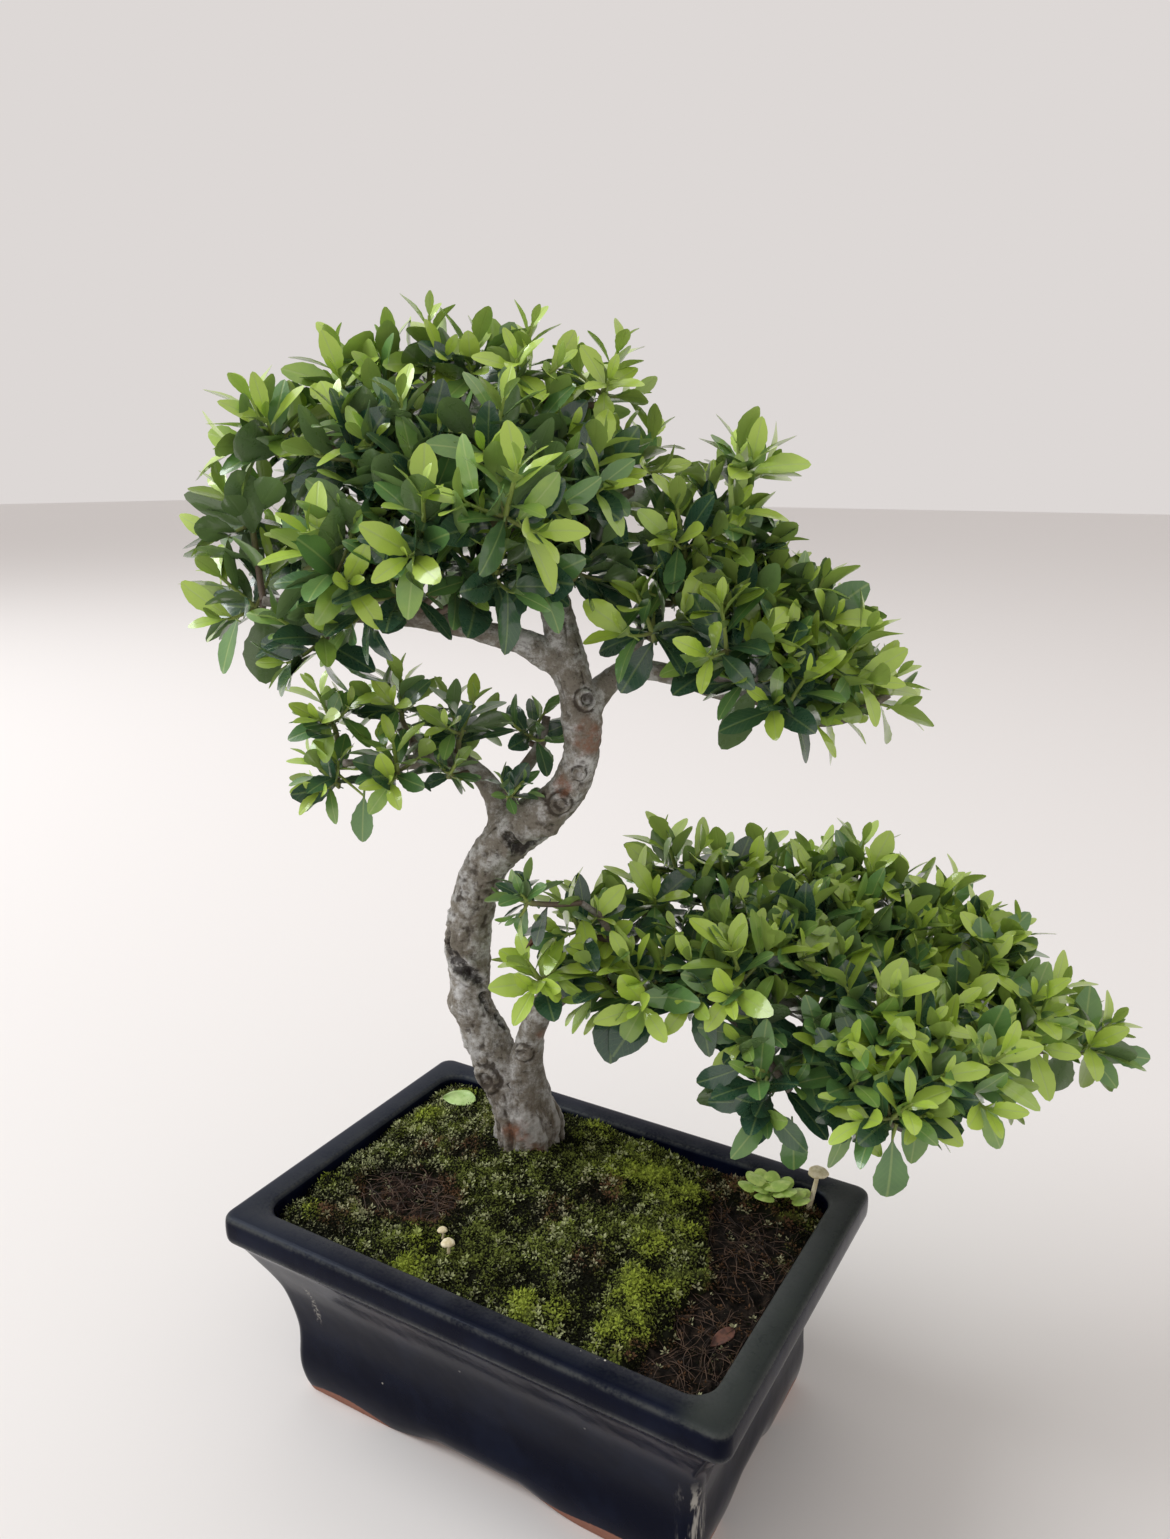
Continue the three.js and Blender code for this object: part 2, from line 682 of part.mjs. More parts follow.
// One leaf of a shoot, counted back from its tip.
function leafOf(number, shoot, k) {
  const length = shoot.from.distanceTo(shoot.to);
  const back = 0.8 + SHOOT.step * k * (0.8 + 0.05 * k);
  const t = Math.max(0, 1 - back / length);
  const seed = number * 7 + shoot.order;
  const axis = bezierWay(shoot.from, shoot.bow, shoot.to, t);
  const across = perpendicular(axis);
  const over = axis.clone().cross(across);
  const turn = k * GOLDEN_ANGLE + 6.28 * draw(seed, 0, 1);
  const spoke = across.multiplyScalar(Math.cos(turn)).addScaledVector(over, Math.sin(turn));
  const age = k / (shoot.leaves - 1);
  const tilt = THREE.MathUtils.degToRad(24 + 60 * age ** 0.75 + 14 * (draw(seed, k, 2) - 0.5));
  const along = axis.clone().multiplyScalar(Math.cos(tilt)).addScaledVector(spoke, Math.sin(tilt));
  const face = axis.clone().multiplyScalar(Math.sin(tilt)).addScaledVector(spoke, -Math.cos(tilt));
  const grown = THREE.MathUtils.lerp(LEAF.youngest, LEAF.oldest, Math.min(1, k / LEAF.growing));
  const size = grown * (0.86 + 0.28 * draw(seed, k, 4));
  return {
    base: pointOnShoot(shoot, t),
    along,
    face: face.addScaledVector(up, LEAF.skyward),
    length: size,
    width: size * (LEAF.slender + 0.1 * draw(seed, k, 6)),
  };
}

// A side shoot is straight here, and the leader is the last two lengths of its branchlet.
function pointOnShoot(shoot, t) {
  if (shoot.order) return mix(shoot.from, shoot.to, t);
  const middle = bezier(shoot.from, shoot.bow, shoot.to, 0.5);
  return t < 0.5 ? mix(shoot.from, middle, t * 2) : mix(middle, shoot.to, t * 2 - 1);
}

// A blade of even thickness, arched along its midrib, with both faces split alike.
function bladeSolid({ base, along, face, length, width }) {
  const ahead = along.clone().normalize();
  const normal = face.clone().addScaledVector(ahead, -face.dot(ahead)).normalize();
  const left = normal.clone().cross(ahead);
  const rim = [[], []];
  BLADE_STATIONS.forEach(([t, half], row) => {
    const spine = base.clone().addScaledVector(ahead, t * length);
    spine.addScaledVector(normal, -LEAF.sag * length * t * t);
    if (half === 0) {
      rim[0][row] = spine;
      return;
    }
    spine.addScaledVector(normal, LEAF.cup * width);
    rim[0][row] = spine.clone().addScaledVector(left, half * width);
    rim[1][row] = spine.clone().addScaledVector(left, -half * width);
  });
  const [root, leftLow, leftHigh, tip] = rim[0];
  const [, rightLow, rightHigh] = rim[1];
  const outline = [root, rightLow, rightHigh, tip, leftHigh, leftLow];
  const top = [0, 1, 5, 1, 2, 4, 1, 4, 5, 2, 3, 4];
  const count = outline.length;
  const points = [
    ...outline.map((point) => point.clone().addScaledVector(normal, LEAF.thickness / 2)),
    ...outline.map((point) => point.clone().addScaledVector(normal, -LEAF.thickness / 2)),
  ];
  const faces = [...top];
  for (let i = 0; i < top.length; i += 3) faces.push(top[i] + count, top[i + 2] + count, top[i + 1] + count);
  for (let i = 0; i < count; i++) {
    const next = (i + 1) % count;
    faces.push(i, i + count, next + count, i, next + count, next);
  }
  return solidOf(indexed(points, faces));
}

// The branchlet from a bough to the leader's tip, which swings out further at each attempt.
function branchletSolid(spray, spring, stand, attempt) {
  const leader = spray.shoots[0];
  const outOf = spray.neck.clone().sub(spring.point);
  outOf.addScaledVector(spring.along, -outOf.dot(spring.along)).normalize();
  const start = spring.point.clone().addScaledVector(outOf, stand);
  const swing = perpendicular(spray.outward).applyAxisAngle(spray.outward, attempt * GOLDEN_ANGLE);
  const aside = Math.min(SPRING.swing * attempt, SPRING.widest);
  const middle = mix(start, spray.neck, 0.5).addScaledVector(swing, aside);
  const stem = [
    { point: start, radius: Math.min(STEM.base, 0.8 * spring.radius) },
    { point: middle, radius: (STEM.base + STEM.neck) / 2 },
    { point: leader.from, radius: STEM.neck },
    { point: bezier(leader.from, leader.bow, leader.to, 0.5), radius: (STEM.neck + STEM.tip) / 2 },
    { point: leader.to, radius: STEM.tip },
  ];
  return solidOf(tube(stem, SIDES.stem));
}

// A straight stem between two places.
function stalk(from, to, fromRadius, toRadius, sides) {
  const samples = [{ point: from, radius: fromRadius }, { point: to, radius: toRadius }];
  return solidOf(tube(samples, sides));
}

const sideSolid = ({ from, to }) => stalk(from, to, STEM.sideBase, STEM.sideTip, SIDES.stem);

// Solids that new pieces must keep clear of, each with its box for a quick first test.
class Crowd {
  constructor() {
    this.members = [];
  }

  add(owner, solid) {
    const { min, max } = solid.boundingBox();
    this.members.push({ owner, solid, box: new THREE.Box3(vec(min), vec(max)) });
  }

  // The least gap from a solid to every member of another owner, up to a limit.
  gap(owner, solid, limit) {
    const { min, max } = solid.boundingBox();
    const box = new THREE.Box3(vec(min), vec(max)).expandByScalar(limit);
    let least = limit;
    for (const member of this.members) {
      if (member.owner === owner || !member.box.intersectsBox(box)) continue;
      least = Math.min(least, member.solid.minGap(solid, limit));
      if (least === 0) return 0;
    }
    return least;
  }
}

// A spray's branchlet, seated against the bough it springs from and clear of all else.
function placeBranchlet(spray, springs, wood, crowd) {
  const candidates = nearestSprings(springs, spray.neck);
  for (let attempt = 0; attempt < SPRING.attempts; attempt++) {
    const spring = candidates[(attempt * 3) % candidates.length];
    let stand = spring.radius + CLEARANCE;
    for (let settle = 0; settle < SPRING.settles; settle++) {
      const stem = branchletSolid(spray, spring, stand, attempt);
      const gap = wood.minGap(stem, 2);
      const seated = gap >= CLEARANCE - 0.02 && gap < CLEARANCE + 0.15;
      if (seated && crowd.gap(spray.number, stem, CLEARANCE) >= CLEARANCE) return stem;
      if (seated) break;
      stand += gap > 0 ? CLEARANCE + 0.04 - gap : 0.5;
    }
  }
  throw new Error(`${spray.name} finds no clear way out of its bough`);
}

// Gives a spray one more solid, which the other sprays then keep clear of.
function grow(spray, solid, crowd) {
  spray.parts.push(solid);
  crowd.add(spray.number, solid);
}

// The sprays of every mass, each with its branchlet.
function startSprays(wood, crowd) {
  const springs = makeSprings();
  const sprays = [];
  for (const [mass, { heart, shoots }] of Object.entries(MASSES)) {
    shoots.forEach((listed, i) => {
      const spray = shootsOf(sprays.length + 1, heart, listed);
      spray.name = `spray_${mass}_${String(i + 1).padStart(2, "0")}`;
      spray.parts = [];
      grow(spray, placeBranchlet(spray, springs, wood, crowd), crowd);
      sprays.push(spray);
    });
  }
  return sprays;
}

// A spray's side shoots, where they are clear of the other sprays.
function growSides(spray, crowd) {
  const sides = spray.shoots.slice(1, 1 + SIDE_PICKS.length).filter((side) => {
    const stem = sideSolid(side);
    const clear = crowd.gap(spray.number, stem, CLEARANCE) >= CLEARANCE;
    if (clear) grow(spray, stem, crowd);
    return clear;
  });
  spray.grown = new Set([spray.shoots[0], ...sides]);
}

// Every spray: first all the stems, then the leaves in rounds, each where it is clear.
function makeSprays(wood) {
  const crowd = new Crowd();
  const sprays = startSprays(wood, crowd);
  crowd.add("wood", wood);
  for (const spray of sprays) growSides(spray, crowd);
  for (const spray of sprays.filter(({ name }) => TRAILERS[name])) {
    for (const piece of trailerSolids(spray.neck, TRAILERS[spray.name])) grow(spray, piece, crowd);
  }
  const picks = [
    ...LEADER_PICKS.map((k) => [0, k]),
    ...SIDE_PICKS.flatMap((list, side) => list.map((k) => [side + 1, k])),
  ];
  for (const [order, k] of picks) {
    for (const spray of sprays.filter(({ shoots, grown }) => grown.has(shoots[order]))) {
      const leaf = leafOf(spray.number, spray.shoots[order], k);
      const blade = clearBlade(leaf, spray.number, crowd);
      if (blade) grow(spray, blade, crowd);
    }
  }
  return sprays.map((spray) => [spray.name, joined(spray.parts, SLIVER)]);
}

// A thin twig from a spray's neck with one leaf at its end.
function trailerSolids(neck, [x, y, z, ...way]) {
  const foot = vec([x, y, z]);
  const leaf = { ...TRAILER_LEAF, base: foot, along: vec(way), face: vec(TRAILER_LEAF.face) };
  return [stalk(neck, foot, STEM.sideBase, STEM.sideTip, SIDES.stem), bladeSolid(leaf)];
}

// The blade as it would grow, or bent aside where it would touch another spray.
function clearBlade(leaf, owner, crowd) {
  for (const bend of BENDS) {
    const along = leaf.along.clone().applyAxisAngle(up, THREE.MathUtils.degToRad(bend));
    const blade = bladeSolid({ ...leaf, along });
    if (crowd.gap(owner, blade, CLEARANCE) >= CLEARANCE) return blade;
  }
  return null;
}

// A piece lowered until it all but touches what lies under it.
function settled(piece, grounds) {
  let lowered = piece;
  for (let i = 0; i < 60; i++) {
    const gap = Math.min(...grounds.map((ground) => ground.minGap(lowered, DROP)));
    if (gap < CLEARANCE + 0.02) break;
    lowered = lowered.translate([0, 0, CLEARANCE - gap]);
  }
  return lowered;
}

// Round-leaved seedlings that share one crown.
function makeSeedlings() {
  const { at, leaves, leafRadius, leafThickness, height, spread, squash } = SEEDLINGS;
  const foot = vec([...at, POT.height + DROP]);
  const above = (rise) => foot.clone().setZ(foot.z + rise);
  const parts = [stalk(foot, above(3), 3, 2, 6)];
  for (let k = 0; k < leaves; k++) {
    const angle = k * GOLDEN_ANGLE;
    const reach = 3 + (spread - 3) * Math.sqrt((k + 1) / leaves);
    const spoke = vec([Math.cos(angle), squash * Math.sin(angle), 0]);
    const centre = foot.clone().addScaledVector(spoke, reach);
    centre.z += height + 2.6 * draw(k, 5, 9);
    parts.push(stalk(above(1.4), centre, 0.6, 0.5, SIDES.stem));
    const disc = new THREE.CylinderGeometry(leafRadius, leafRadius, leafThickness, 7).rotateX(Math.PI / 2);
    const tiltAxis = new THREE.Vector3(spoke.y, -spoke.x, 0).normalize();
    disc.applyMatrix4(new THREE.Matrix4().makeRotationAxis(tiltAxis, -0.3 - 0.2 * draw(k, 7, 9)));
    parts.push(solidOf(disc.translate(centre.x, centre.y, centre.z)));
  }
  return joined(parts, SLIVER);
}

// A small mushroom whose cap leans aside.
function makeMushroom({ at, cap, height, lean }) {
  const foot = vec([...at, POT.height + DROP]);
  const crown = foot.clone().add(vec([...lean, height]));
  const profile = [[0, 0.1], [0.95, 0], [1, 0.12], [0.72, 0.48], [0, 0.66]];
  const outline = profile.map(([across, rise]) => new THREE.Vector2(across * cap, rise * cap));
  const hat = new THREE.LatheGeometry(outline, 8).rotateX(Math.PI / 2);
  hat.translate(crown.x, crown.y, crown.z - 0.4 * cap);
  return joined([stalk(foot, crown, 0.28 * cap, 0.22 * cap, 4), solidOf(hat)], CLEARANCE / 10);
}

// A shed leaf that lies on the ground, turned as told.
function makeFallenLeaf({ at, length, width, turn, rise }) {
  const along = vec([Math.cos(turn), Math.sin(turn), rise]);
  const base = vec([...at, POT.height + DROP]).addScaledVector(along, -0.5 * length);
  return bladeSolid({ base, along, face: up, length, width });
}

// The withered leaf, curled in a thin spike.
function makeDryLeaf() {
  const samples = DRY_LEAF.map((listed) => ({ point: vec(listed), radius: listed[3] }));
  return solidOf(tube(samples, SIDES.branch));
}

// Finishes: colour, roughness and metalness of each material.
const FINISH = {
  glaze: { color: 0x0b0f1c, roughness: 0.16, metalness: 0 },
  plastic: { color: 0x1b1b1b, roughness: 0.6, metalness: 0 },
  soil: { color: 0x33251c, roughness: 0.95, metalness: 0 },
  moss: { color: 0x5d7a24, roughness: 0.95, metalness: 0 },
  bark: { color: 0x8d8177, roughness: 0.9, metalness: 0 },
  leaf: { color: 0x4f8a2c, roughness: 0.4, metalness: 0 },
  seedling: { color: 0x86ad4a, roughness: 0.5, metalness: 0 },
  mushroom: { color: 0xe4dcc0, roughness: 0.7, metalness: 0 },
  paleLeaf: { color: 0xa9bf78, roughness: 0.5, metalness: 0 },
  dryLeaf: { color: 0x7a5a44, roughness: 0.8, metalness: 0 },
};

function named(name, solid, finish) {
  const mesh = new THREE.Mesh(geometryOf(solid), new THREE.MeshStandardMaterial(FINISH[finish]));
  mesh.name = name;
  return mesh;
}

// The pot and what lies in it.
const bonsai = new THREE.Group();
const tree = new THREE.Group();
tree.position.set(TREE.x, TREE.y, POT.height);
tree.rotation.z = THREE.MathUtils.degToRad(TREE.turn);
tree.updateMatrix();
bonsai.add(tree);

const trunkHole = trunkSolid(CLEARANCE).transform(tree.matrix.elements);
const pot = makePot();
const soil = makeSoil(trunkHole);
const moss = makeMoss(trunkHole);
bonsai.add(named("pot", pot, "glaze"));
bonsai.add(named("drain_screen_left", makeScreen(-1), "plastic"));
bonsai.add(named("drain_screen_right", makeScreen(1), "plastic"));
bonsai.add(named("soil", soil, "soil"));
bonsai.add(named("moss_carpet", moss, "moss"));

// What grows or lies on the soil.
const litter = [
  ["seedling_clump", makeSeedlings(), "seedling"],
  ["mushroom_corner", makeMushroom(MUSHROOMS.corner), "mushroom"],
  ["mushroom_near", makeMushroom(MUSHROOMS.near), "mushroom"],
  ["mushroom_far", makeMushroom(MUSHROOMS.far), "mushroom"],
  ["fallen_leaf_pale", makeFallenLeaf(FALLEN_LEAVES.pale), "paleLeaf"],
  ["fallen_leaf_brown", makeFallenLeaf(FALLEN_LEAVES.brown), "dryLeaf"],
];
for (const [name, piece, finish] of litter) {
  bonsai.add(named(name, settled(piece, [pot, soil, moss]), finish));
}

// The tree.
const wood = makeWood();
tree.add(named("trunk_and_branches", wood, "bark"));
for (const [name, solid] of makeSprays(wood)) tree.add(named(name, solid, "leaf"));
tree.add(named("dry_leaf", makeDryLeaf(), "dryLeaf"));

// The origin moves under the middle of the whole.
const middle = new THREE.Box3().setFromObject(bonsai, true).getCenter(new THREE.Vector3());
bonsai.position.set(-middle.x, -middle.y, 0);
const part = new THREE.Group();
part.add(bonsai);

export default part;
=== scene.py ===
"""The look of a small-leaved holly bonsai in its glazed pot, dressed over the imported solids.

Every class holds its sizes in millimetres, in the pot's frame or in the tree's. Meshes are
written in metres in the shared frame, with every finished piece's object at the origin.

The pot's frame starts on the floor below the pot's middle, with x along the long side and z up.
The tree's frame starts at the foot of the trunk, on the level of the rim, and is turned about z.
"""

import logging
import math
from dataclasses import dataclass, field
from enum import Enum
from functools import lru_cache
from typing import Iterable, Optional, Sequence, Union

import bpy
import numpy as np
from mathutils import Matrix, Vector


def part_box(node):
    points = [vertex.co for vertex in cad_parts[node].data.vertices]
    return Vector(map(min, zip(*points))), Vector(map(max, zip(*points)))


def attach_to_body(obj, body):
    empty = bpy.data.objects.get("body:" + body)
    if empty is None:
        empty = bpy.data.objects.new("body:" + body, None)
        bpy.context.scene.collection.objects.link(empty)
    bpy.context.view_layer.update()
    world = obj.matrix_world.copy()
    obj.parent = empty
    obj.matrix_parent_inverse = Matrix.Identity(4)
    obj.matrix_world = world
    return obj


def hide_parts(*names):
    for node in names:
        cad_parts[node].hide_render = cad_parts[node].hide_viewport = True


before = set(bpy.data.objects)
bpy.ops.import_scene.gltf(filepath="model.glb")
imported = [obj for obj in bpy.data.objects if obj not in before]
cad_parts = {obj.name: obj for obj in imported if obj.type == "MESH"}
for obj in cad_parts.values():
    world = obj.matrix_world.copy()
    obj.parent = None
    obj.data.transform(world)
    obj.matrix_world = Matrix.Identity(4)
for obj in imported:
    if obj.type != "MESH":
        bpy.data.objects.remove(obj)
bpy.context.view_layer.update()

BODY = "root"
MM = 0.001
RIM_HEIGHT = 84.0
HALF_LENGTH, HALF_WIDTH = 105.0, 72.0
TREE_FOOT = np.array([-29.0, 28.0, RIM_HEIGHT])
TREE_TURN = math.radians(30.1)
GOLDEN_ANGLE = math.radians(137.5)
UP = np.array([0.0, 0.0, 1.0])

# Whole numbers and weights that scramble the repeatable draws and the noise.
DRAW_WEIGHTS, DRAW_SPREAD = (12.9898, 78.233, 37.719), 43758.5453
CELL_PRIMES, SEED_PRIME = (73856093, 19349663, 83492791), 2654435761
MIXERS = ((15, 739982445), (13, 695872825))
LOW_32_BITS, LOW_16_BITS = np.uint64(0xFFFFFFFF), np.uint64(0xFFFF)

log = logging.getLogger("bonsai")


@lru_cache(maxsize=None)
def pot_centre() -> np.ndarray:
    """Returns the point of the floor below the pot's middle, in millimetres of the shared frame."""
    low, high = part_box("pot")
    return np.array([low.x + high.x, low.y + high.y, 0.0]) / 2 / MM


def turn_tree(vectors: np.ndarray) -> np.ndarray:
    """Turns directions from the tree's frame to the pot's.

    Args:
        vectors: Directions, one in each row.

    Returns:
        The turned directions.
    """
    cosine, sine = math.cos(TREE_TURN), math.sin(TREE_TURN)
    turn = np.array([[cosine, -sine, 0], [sine, cosine, 0], [0, 0, 1]])
    return np.asarray(vectors, float) @ turn.T


def from_pot(points: np.ndarray) -> np.ndarray:
    """Turns points of the pot's frame in millimetres into metres of the shared frame."""
    return (np.asarray(points, float) + pot_centre()) * MM


def from_tree(points: np.ndarray) -> np.ndarray:
    """Turns points of the tree's frame in millimetres into metres of the shared frame."""
    return from_pot(turn_tree(points) + TREE_FOOT)


def draw(a: int, b: int, c: int) -> float:
    """Returns a repeatable draw from 0 to 1 for three whole numbers.

    Args:
        a, b, c: Numbers that pick the draw.

    Returns:
        The draw.
    """
    first, second, third = DRAW_WEIGHTS
    wave = math.sin(a * first + b * second + c * third) * DRAW_SPREAD
    return wave - math.floor(wave)


def unit(vectors: np.ndarray) -> np.ndarray:
    """Returns vectors at length 1, along the last axis."""
    vectors = np.asarray(vectors, float)
    return vectors / np.maximum(np.linalg.norm(vectors, axis=-1, keepdims=True), 1e-9)


def eased(share: np.ndarray) -> np.ndarray:
    """Returns shares from 0 to 1 that start and end gently."""
    return share * share * (3 - 2 * share)


def ramp_up(value: np.ndarray, low: float, high: float) -> np.ndarray:
    """Returns a smooth step from 0 at low to 1 at high."""
    return eased(np.clip((np.asarray(value, float) - low) / (high - low), 0, 1))


def bell(value: np.ndarray, width: float, middle: float = 0.0) -> np.ndarray:
    """Returns a smooth bump that is 1 at its middle."""
    return np.exp(-((value - middle) / width) ** 2)


def noise(points: np.ndarray, size: float, seed: int) -> np.ndarray:
    """Smooth repeatable noise.

    Args:
        points: Points, one in each row.
        size: Size of the noise's lumps, in the points' own unit.
        seed: Whole number that picks the pattern.

    Returns:
        A value from -1 to 1 for each point.
    """
    scaled = np.asarray(points, float) / size
    cell = np.floor(scaled).astype(np.int64)
    share = eased(scaled - cell)
    total = np.zeros(len(scaled))
    for corner in range(8):
        step = np.array([corner & 1, corner >> 1 & 1, corner >> 2 & 1])
        at = (cell + step).astype(np.uint64)
        mixed = at[:, 0] * CELL_PRIMES[0] ^ at[:, 1] * CELL_PRIMES[1] ^ at[:, 2] * CELL_PRIMES[2]
        mixed = (mixed ^ np.uint64(seed * SEED_PRIME)) & LOW_32_BITS
        for shift, factor in MIXERS:
            mixed = ((mixed ^ (mixed >> np.uint64(shift))) * np.uint64(factor)) & LOW_32_BITS
        mixed = (mixed ^ (mixed >> np.uint64(16))) & LOW_16_BITS
        value = mixed.astype(float) / float(LOW_16_BITS)
        total += value * np.prod(np.where(step, share, 1 - share), axis=1)
    return total * 2 - 1


# Node graphs.


class Term:
    """A socket that Python arithmetic extends with Math nodes."""

    def __init__(self, graph: "Graph", socket: bpy.types.NodeSocket) -> None:
        """Wraps one output socket of a graph."""
        self.graph = graph
        self.socket = socket

    def _with(self, operation: str, first: "Number", second: "Number") -> "Term":
        """Adds one Math node that joins two values."""
        return self.graph.term("ShaderNodeMath", {"operation": operation}, {0: first, 1: second})

    def __add__(self, other: "Number") -> "Term":
        """Adds a number or a term."""
        return self._with("ADD", self, other)

    def __radd__(self, other: "Number") -> "Term":
        """Adds to a number."""
        return self._with("ADD", other, self)

    def __sub__(self, other: "Number") -> "Term":
        """Takes a number or a term away."""
        return self._with("SUBTRACT", self, other)

    def __rsub__(self, other: "Number") -> "Term":
        """Is taken away from a number."""
        return self._with("SUBTRACT", other, self)

    def __mul__(self, other: "Number") -> "Term":
        """Multiplies by a number or a term."""
        return self._with("MULTIPLY", self, other)

    def __rmul__(self, other: "Number") -> "Term":
        """Multiplies a number."""
        return self._with("MULTIPLY", other, self)


Number = Union[float, Term]
Colour = tuple[float, float, float]
Paint = Union[Colour, Term]


class Graph:
    """Adds nodes to one node tree."""

    def __init__(self, tree: bpy.types.NodeTree) -> None:
        """Empties the tree."""
        self.tree = tree
        tree.nodes.clear()

    def node(self, kind: str, settings: Optional[dict] = None,
             inputs: Optional[dict] = None) -> bpy.types.Node:
        """Adds one node.

        Args:
            kind: The node's type.
            settings: Its properties, which are set first.
            inputs: Values or terms for its sockets, by identifier, name or place.

        Returns:
            The node.
        """
        made = self.tree.nodes.new(kind)
        for name, value in (settings or {}).items():
            setattr(made, name, value)
        for key, value in (inputs or {}).items():
            socket = self._socket(made, key)
            if isinstance(value, Term):
                self.tree.links.new(value.socket, socket)
            elif isinstance(value, tuple) and socket.type == "RGBA":
                socket.default_value = (*value, 1.0)
            else:
                socket.default_value = value
        return made

    @staticmethod
    def _socket(node: bpy.types.Node, key: Union[int, str]) -> bpy.types.NodeSocket:
        """Finds an input by its place, its identifier or its name.

        Args:
            node: The node.
            key: The input's place, identifier or name.

        Returns:
            The input.
        """
        if isinstance(key, int):
            return node.inputs[key]
        named = [socket for socket in node.inputs if socket.identifier == key]
        return named[0] if named else node.inputs[key]

    def term(self, kind: str, settings: Optional[dict] = None, inputs: Optional[dict] = None,
             output: Union[int, str] = 0) -> Term:
        """Adds one node and wraps one of its outputs.

        Args:
            kind: The node's type.
            settings: Its properties, which are set first.
            inputs: Values or terms for its sockets, by identifier, name or place.
            output: The name or place of the output. The first one in use, if not given.

        Returns:
            The output.
        """
        made = self.node(kind, settings, inputs)
        shown = [socket for socket in made.outputs if socket.enabled] if output == 0 else None
        return Term(self, shown[0] if shown else made.outputs[output])

    def span(self, value: Number, low: float, high: float) -> Term:
        """Returns a smooth step of a value, from 0 at low to 1 at high."""
        inputs = {"Value": value, "From Min": low, "From Max": high}
        return self.term("ShaderNodeMapRange", {"interpolation_type": "SMOOTHSTEP"}, inputs)

    def scaled(self, vector: Term, factor: Number) -> Term:
        """Returns a vector times a factor."""
        inputs = {0: vector, "Scale": factor}
        return self.term("ShaderNodeVectorMath", {"operation": "SCALE"}, inputs)

    def summed(self, *vectors: Term) -> Term:
        """Returns the sum of vectors.

        Args:
            *vectors: The vectors.

        Returns:
            Their sum.
        """
        total = vectors[0]
        for vector in vectors[1:]:
            total = self.term("ShaderNodeVectorMath", {"operation": "ADD"}, {0: total, 1: vector})
        return total

    def parts(self, vector: Term) -> list[Term]:
        """Returns a vector's three parts."""
        made = self.node("ShaderNodeSeparateXYZ", None, {0: vector})
        return [Term(self, socket) for socket in made.outputs]


class Shader(Graph):
    """The node graph of one material."""

    def __init__(self, material: bpy.types.Material) -> None:
        """Starts with the piece's own coordinates, in millimetres from below the pot's middle.

        Args:
            material: The material to paint.
        """
        material.use_nodes = True
        super().__init__(material.node_tree)
        shared = self.term("ShaderNodeTexCoord", output="Object")
        centre = tuple(-value for value in pot_centre())
        moved = {"Vector": shared, "Location": centre, "Scale": (1 / MM,) * 3}
        self.place = self.term("ShaderNodeMapping", None, moved)

    def attribute(self, name: str) -> Term:
        """Reads a number that the mesh carries."""
        return self.term("ShaderNodeAttribute", {"attribute_name": name}, output="Fac")

    def vector(self, name: str) -> Term:
        """Reads a vector that the mesh carries."""
        return self.term("ShaderNodeAttribute", {"attribute_name": name}, output="Vector")

    def noise(self, size: float, detail: float = 3.0, roughness: float = 0.55,
              vector: Optional[Term] = None) -> Term:
        """Noise from 0 to 1 whose lumps have a size in millimetres.

        Args:
            size: Size of the lumps.
            detail: How many finer layers lie over them.
            roughness: How strong the finer layers are.
            vector: Coordinates in place of the piece's own.

        Returns:
            The noise.
        """
        inputs = {"Vector": vector or self.place, "Scale": 1 / size, "Detail": detail,
                  "Roughness": roughness}
        return self.term("ShaderNodeTexNoise", None, inputs)

    def cells(self, size: float, vector: Optional[Term] = None, output: str = "Distance") -> Term:
        """The distance to the nearest of scattered points, or the point's own colour."""
        inputs = {"Vector": vector or self.place, "Scale": 1 / size}
        return self.term("ShaderNodeTexVoronoi", None, inputs, output)

    def stretched(self, scale: tuple[float, float, float]) -> Term:
        """The piece's coordinates, stretched."""
        return self.term("ShaderNodeMapping", None, {"Vector": self.place, "Scale": scale})

    def blend(self, factor: Number, first: Paint, second: Paint) -> Term:
        """A colour between two, from the first at 0 to the second at 1."""
        inputs = {"Factor_Float": factor, "A_Color": first, "B_Color": second}
        return self.term("ShaderNodeMix", {"data_type": "RGBA"}, inputs)

    def layered(self, base: Paint, *layers: tuple[Number, Paint]) -> Term:
        """Lays colours over a base in turn, each as strongly as its mask says.

        Args:
            base: The colour below.
            *layers: Each layer's mask and colour.

        Returns:
            The colour on top.
        """
        for mask, colour in layers:
            base = self.blend(mask, base, colour)
        return base

    def finish(self, base: Paint, roughness: Number, height: Optional[Term] = None,
               depth: float = 0.2, **fixed: Union[float, tuple]) -> None:
        """Ends the graph in a surface.

        Args:
            base: Base colour.
            roughness: Roughness, alike all over or changing.
            height: Relief from 0 to 1 for the bump.
            depth: How deep the relief is, in millimetres.
            **fixed: Other sockets of the surface, with words joined by underscores.
        """
        inputs = {"Base Color": base, "Roughness": roughness}
        inputs.update({name.replace("_", " "): value for name, value in fixed.items()})
        if height is not None:
            bump = {"Height": height, "Distance": depth * MM, "Strength": 1.0}
            inputs["Normal"] = self.term("ShaderNodeBump", None, bump)
        surface = self.term("ShaderNodeBsdfPrincipled", None, inputs)
        self.node("ShaderNodeOutputMaterial", None, {"Surface": surface})


# Finishes.


def srgb(red: int, green: int, blue: int) -> Colour:
    """Turns a screen colour from 0 to 255 into the linear one that a surface takes.

    Args:
        red, green, blue: The screen colour.

    Returns:
        The linear colour.
    """
    def linear(part: int) -> float:
        """Straightens one part of the colour."""
        share = part / 255
        return share / 12.92 if share <= 0.04045 else ((share + 0.055) / 1.055) ** 2.4
    return linear(red), linear(green), linear(blue)


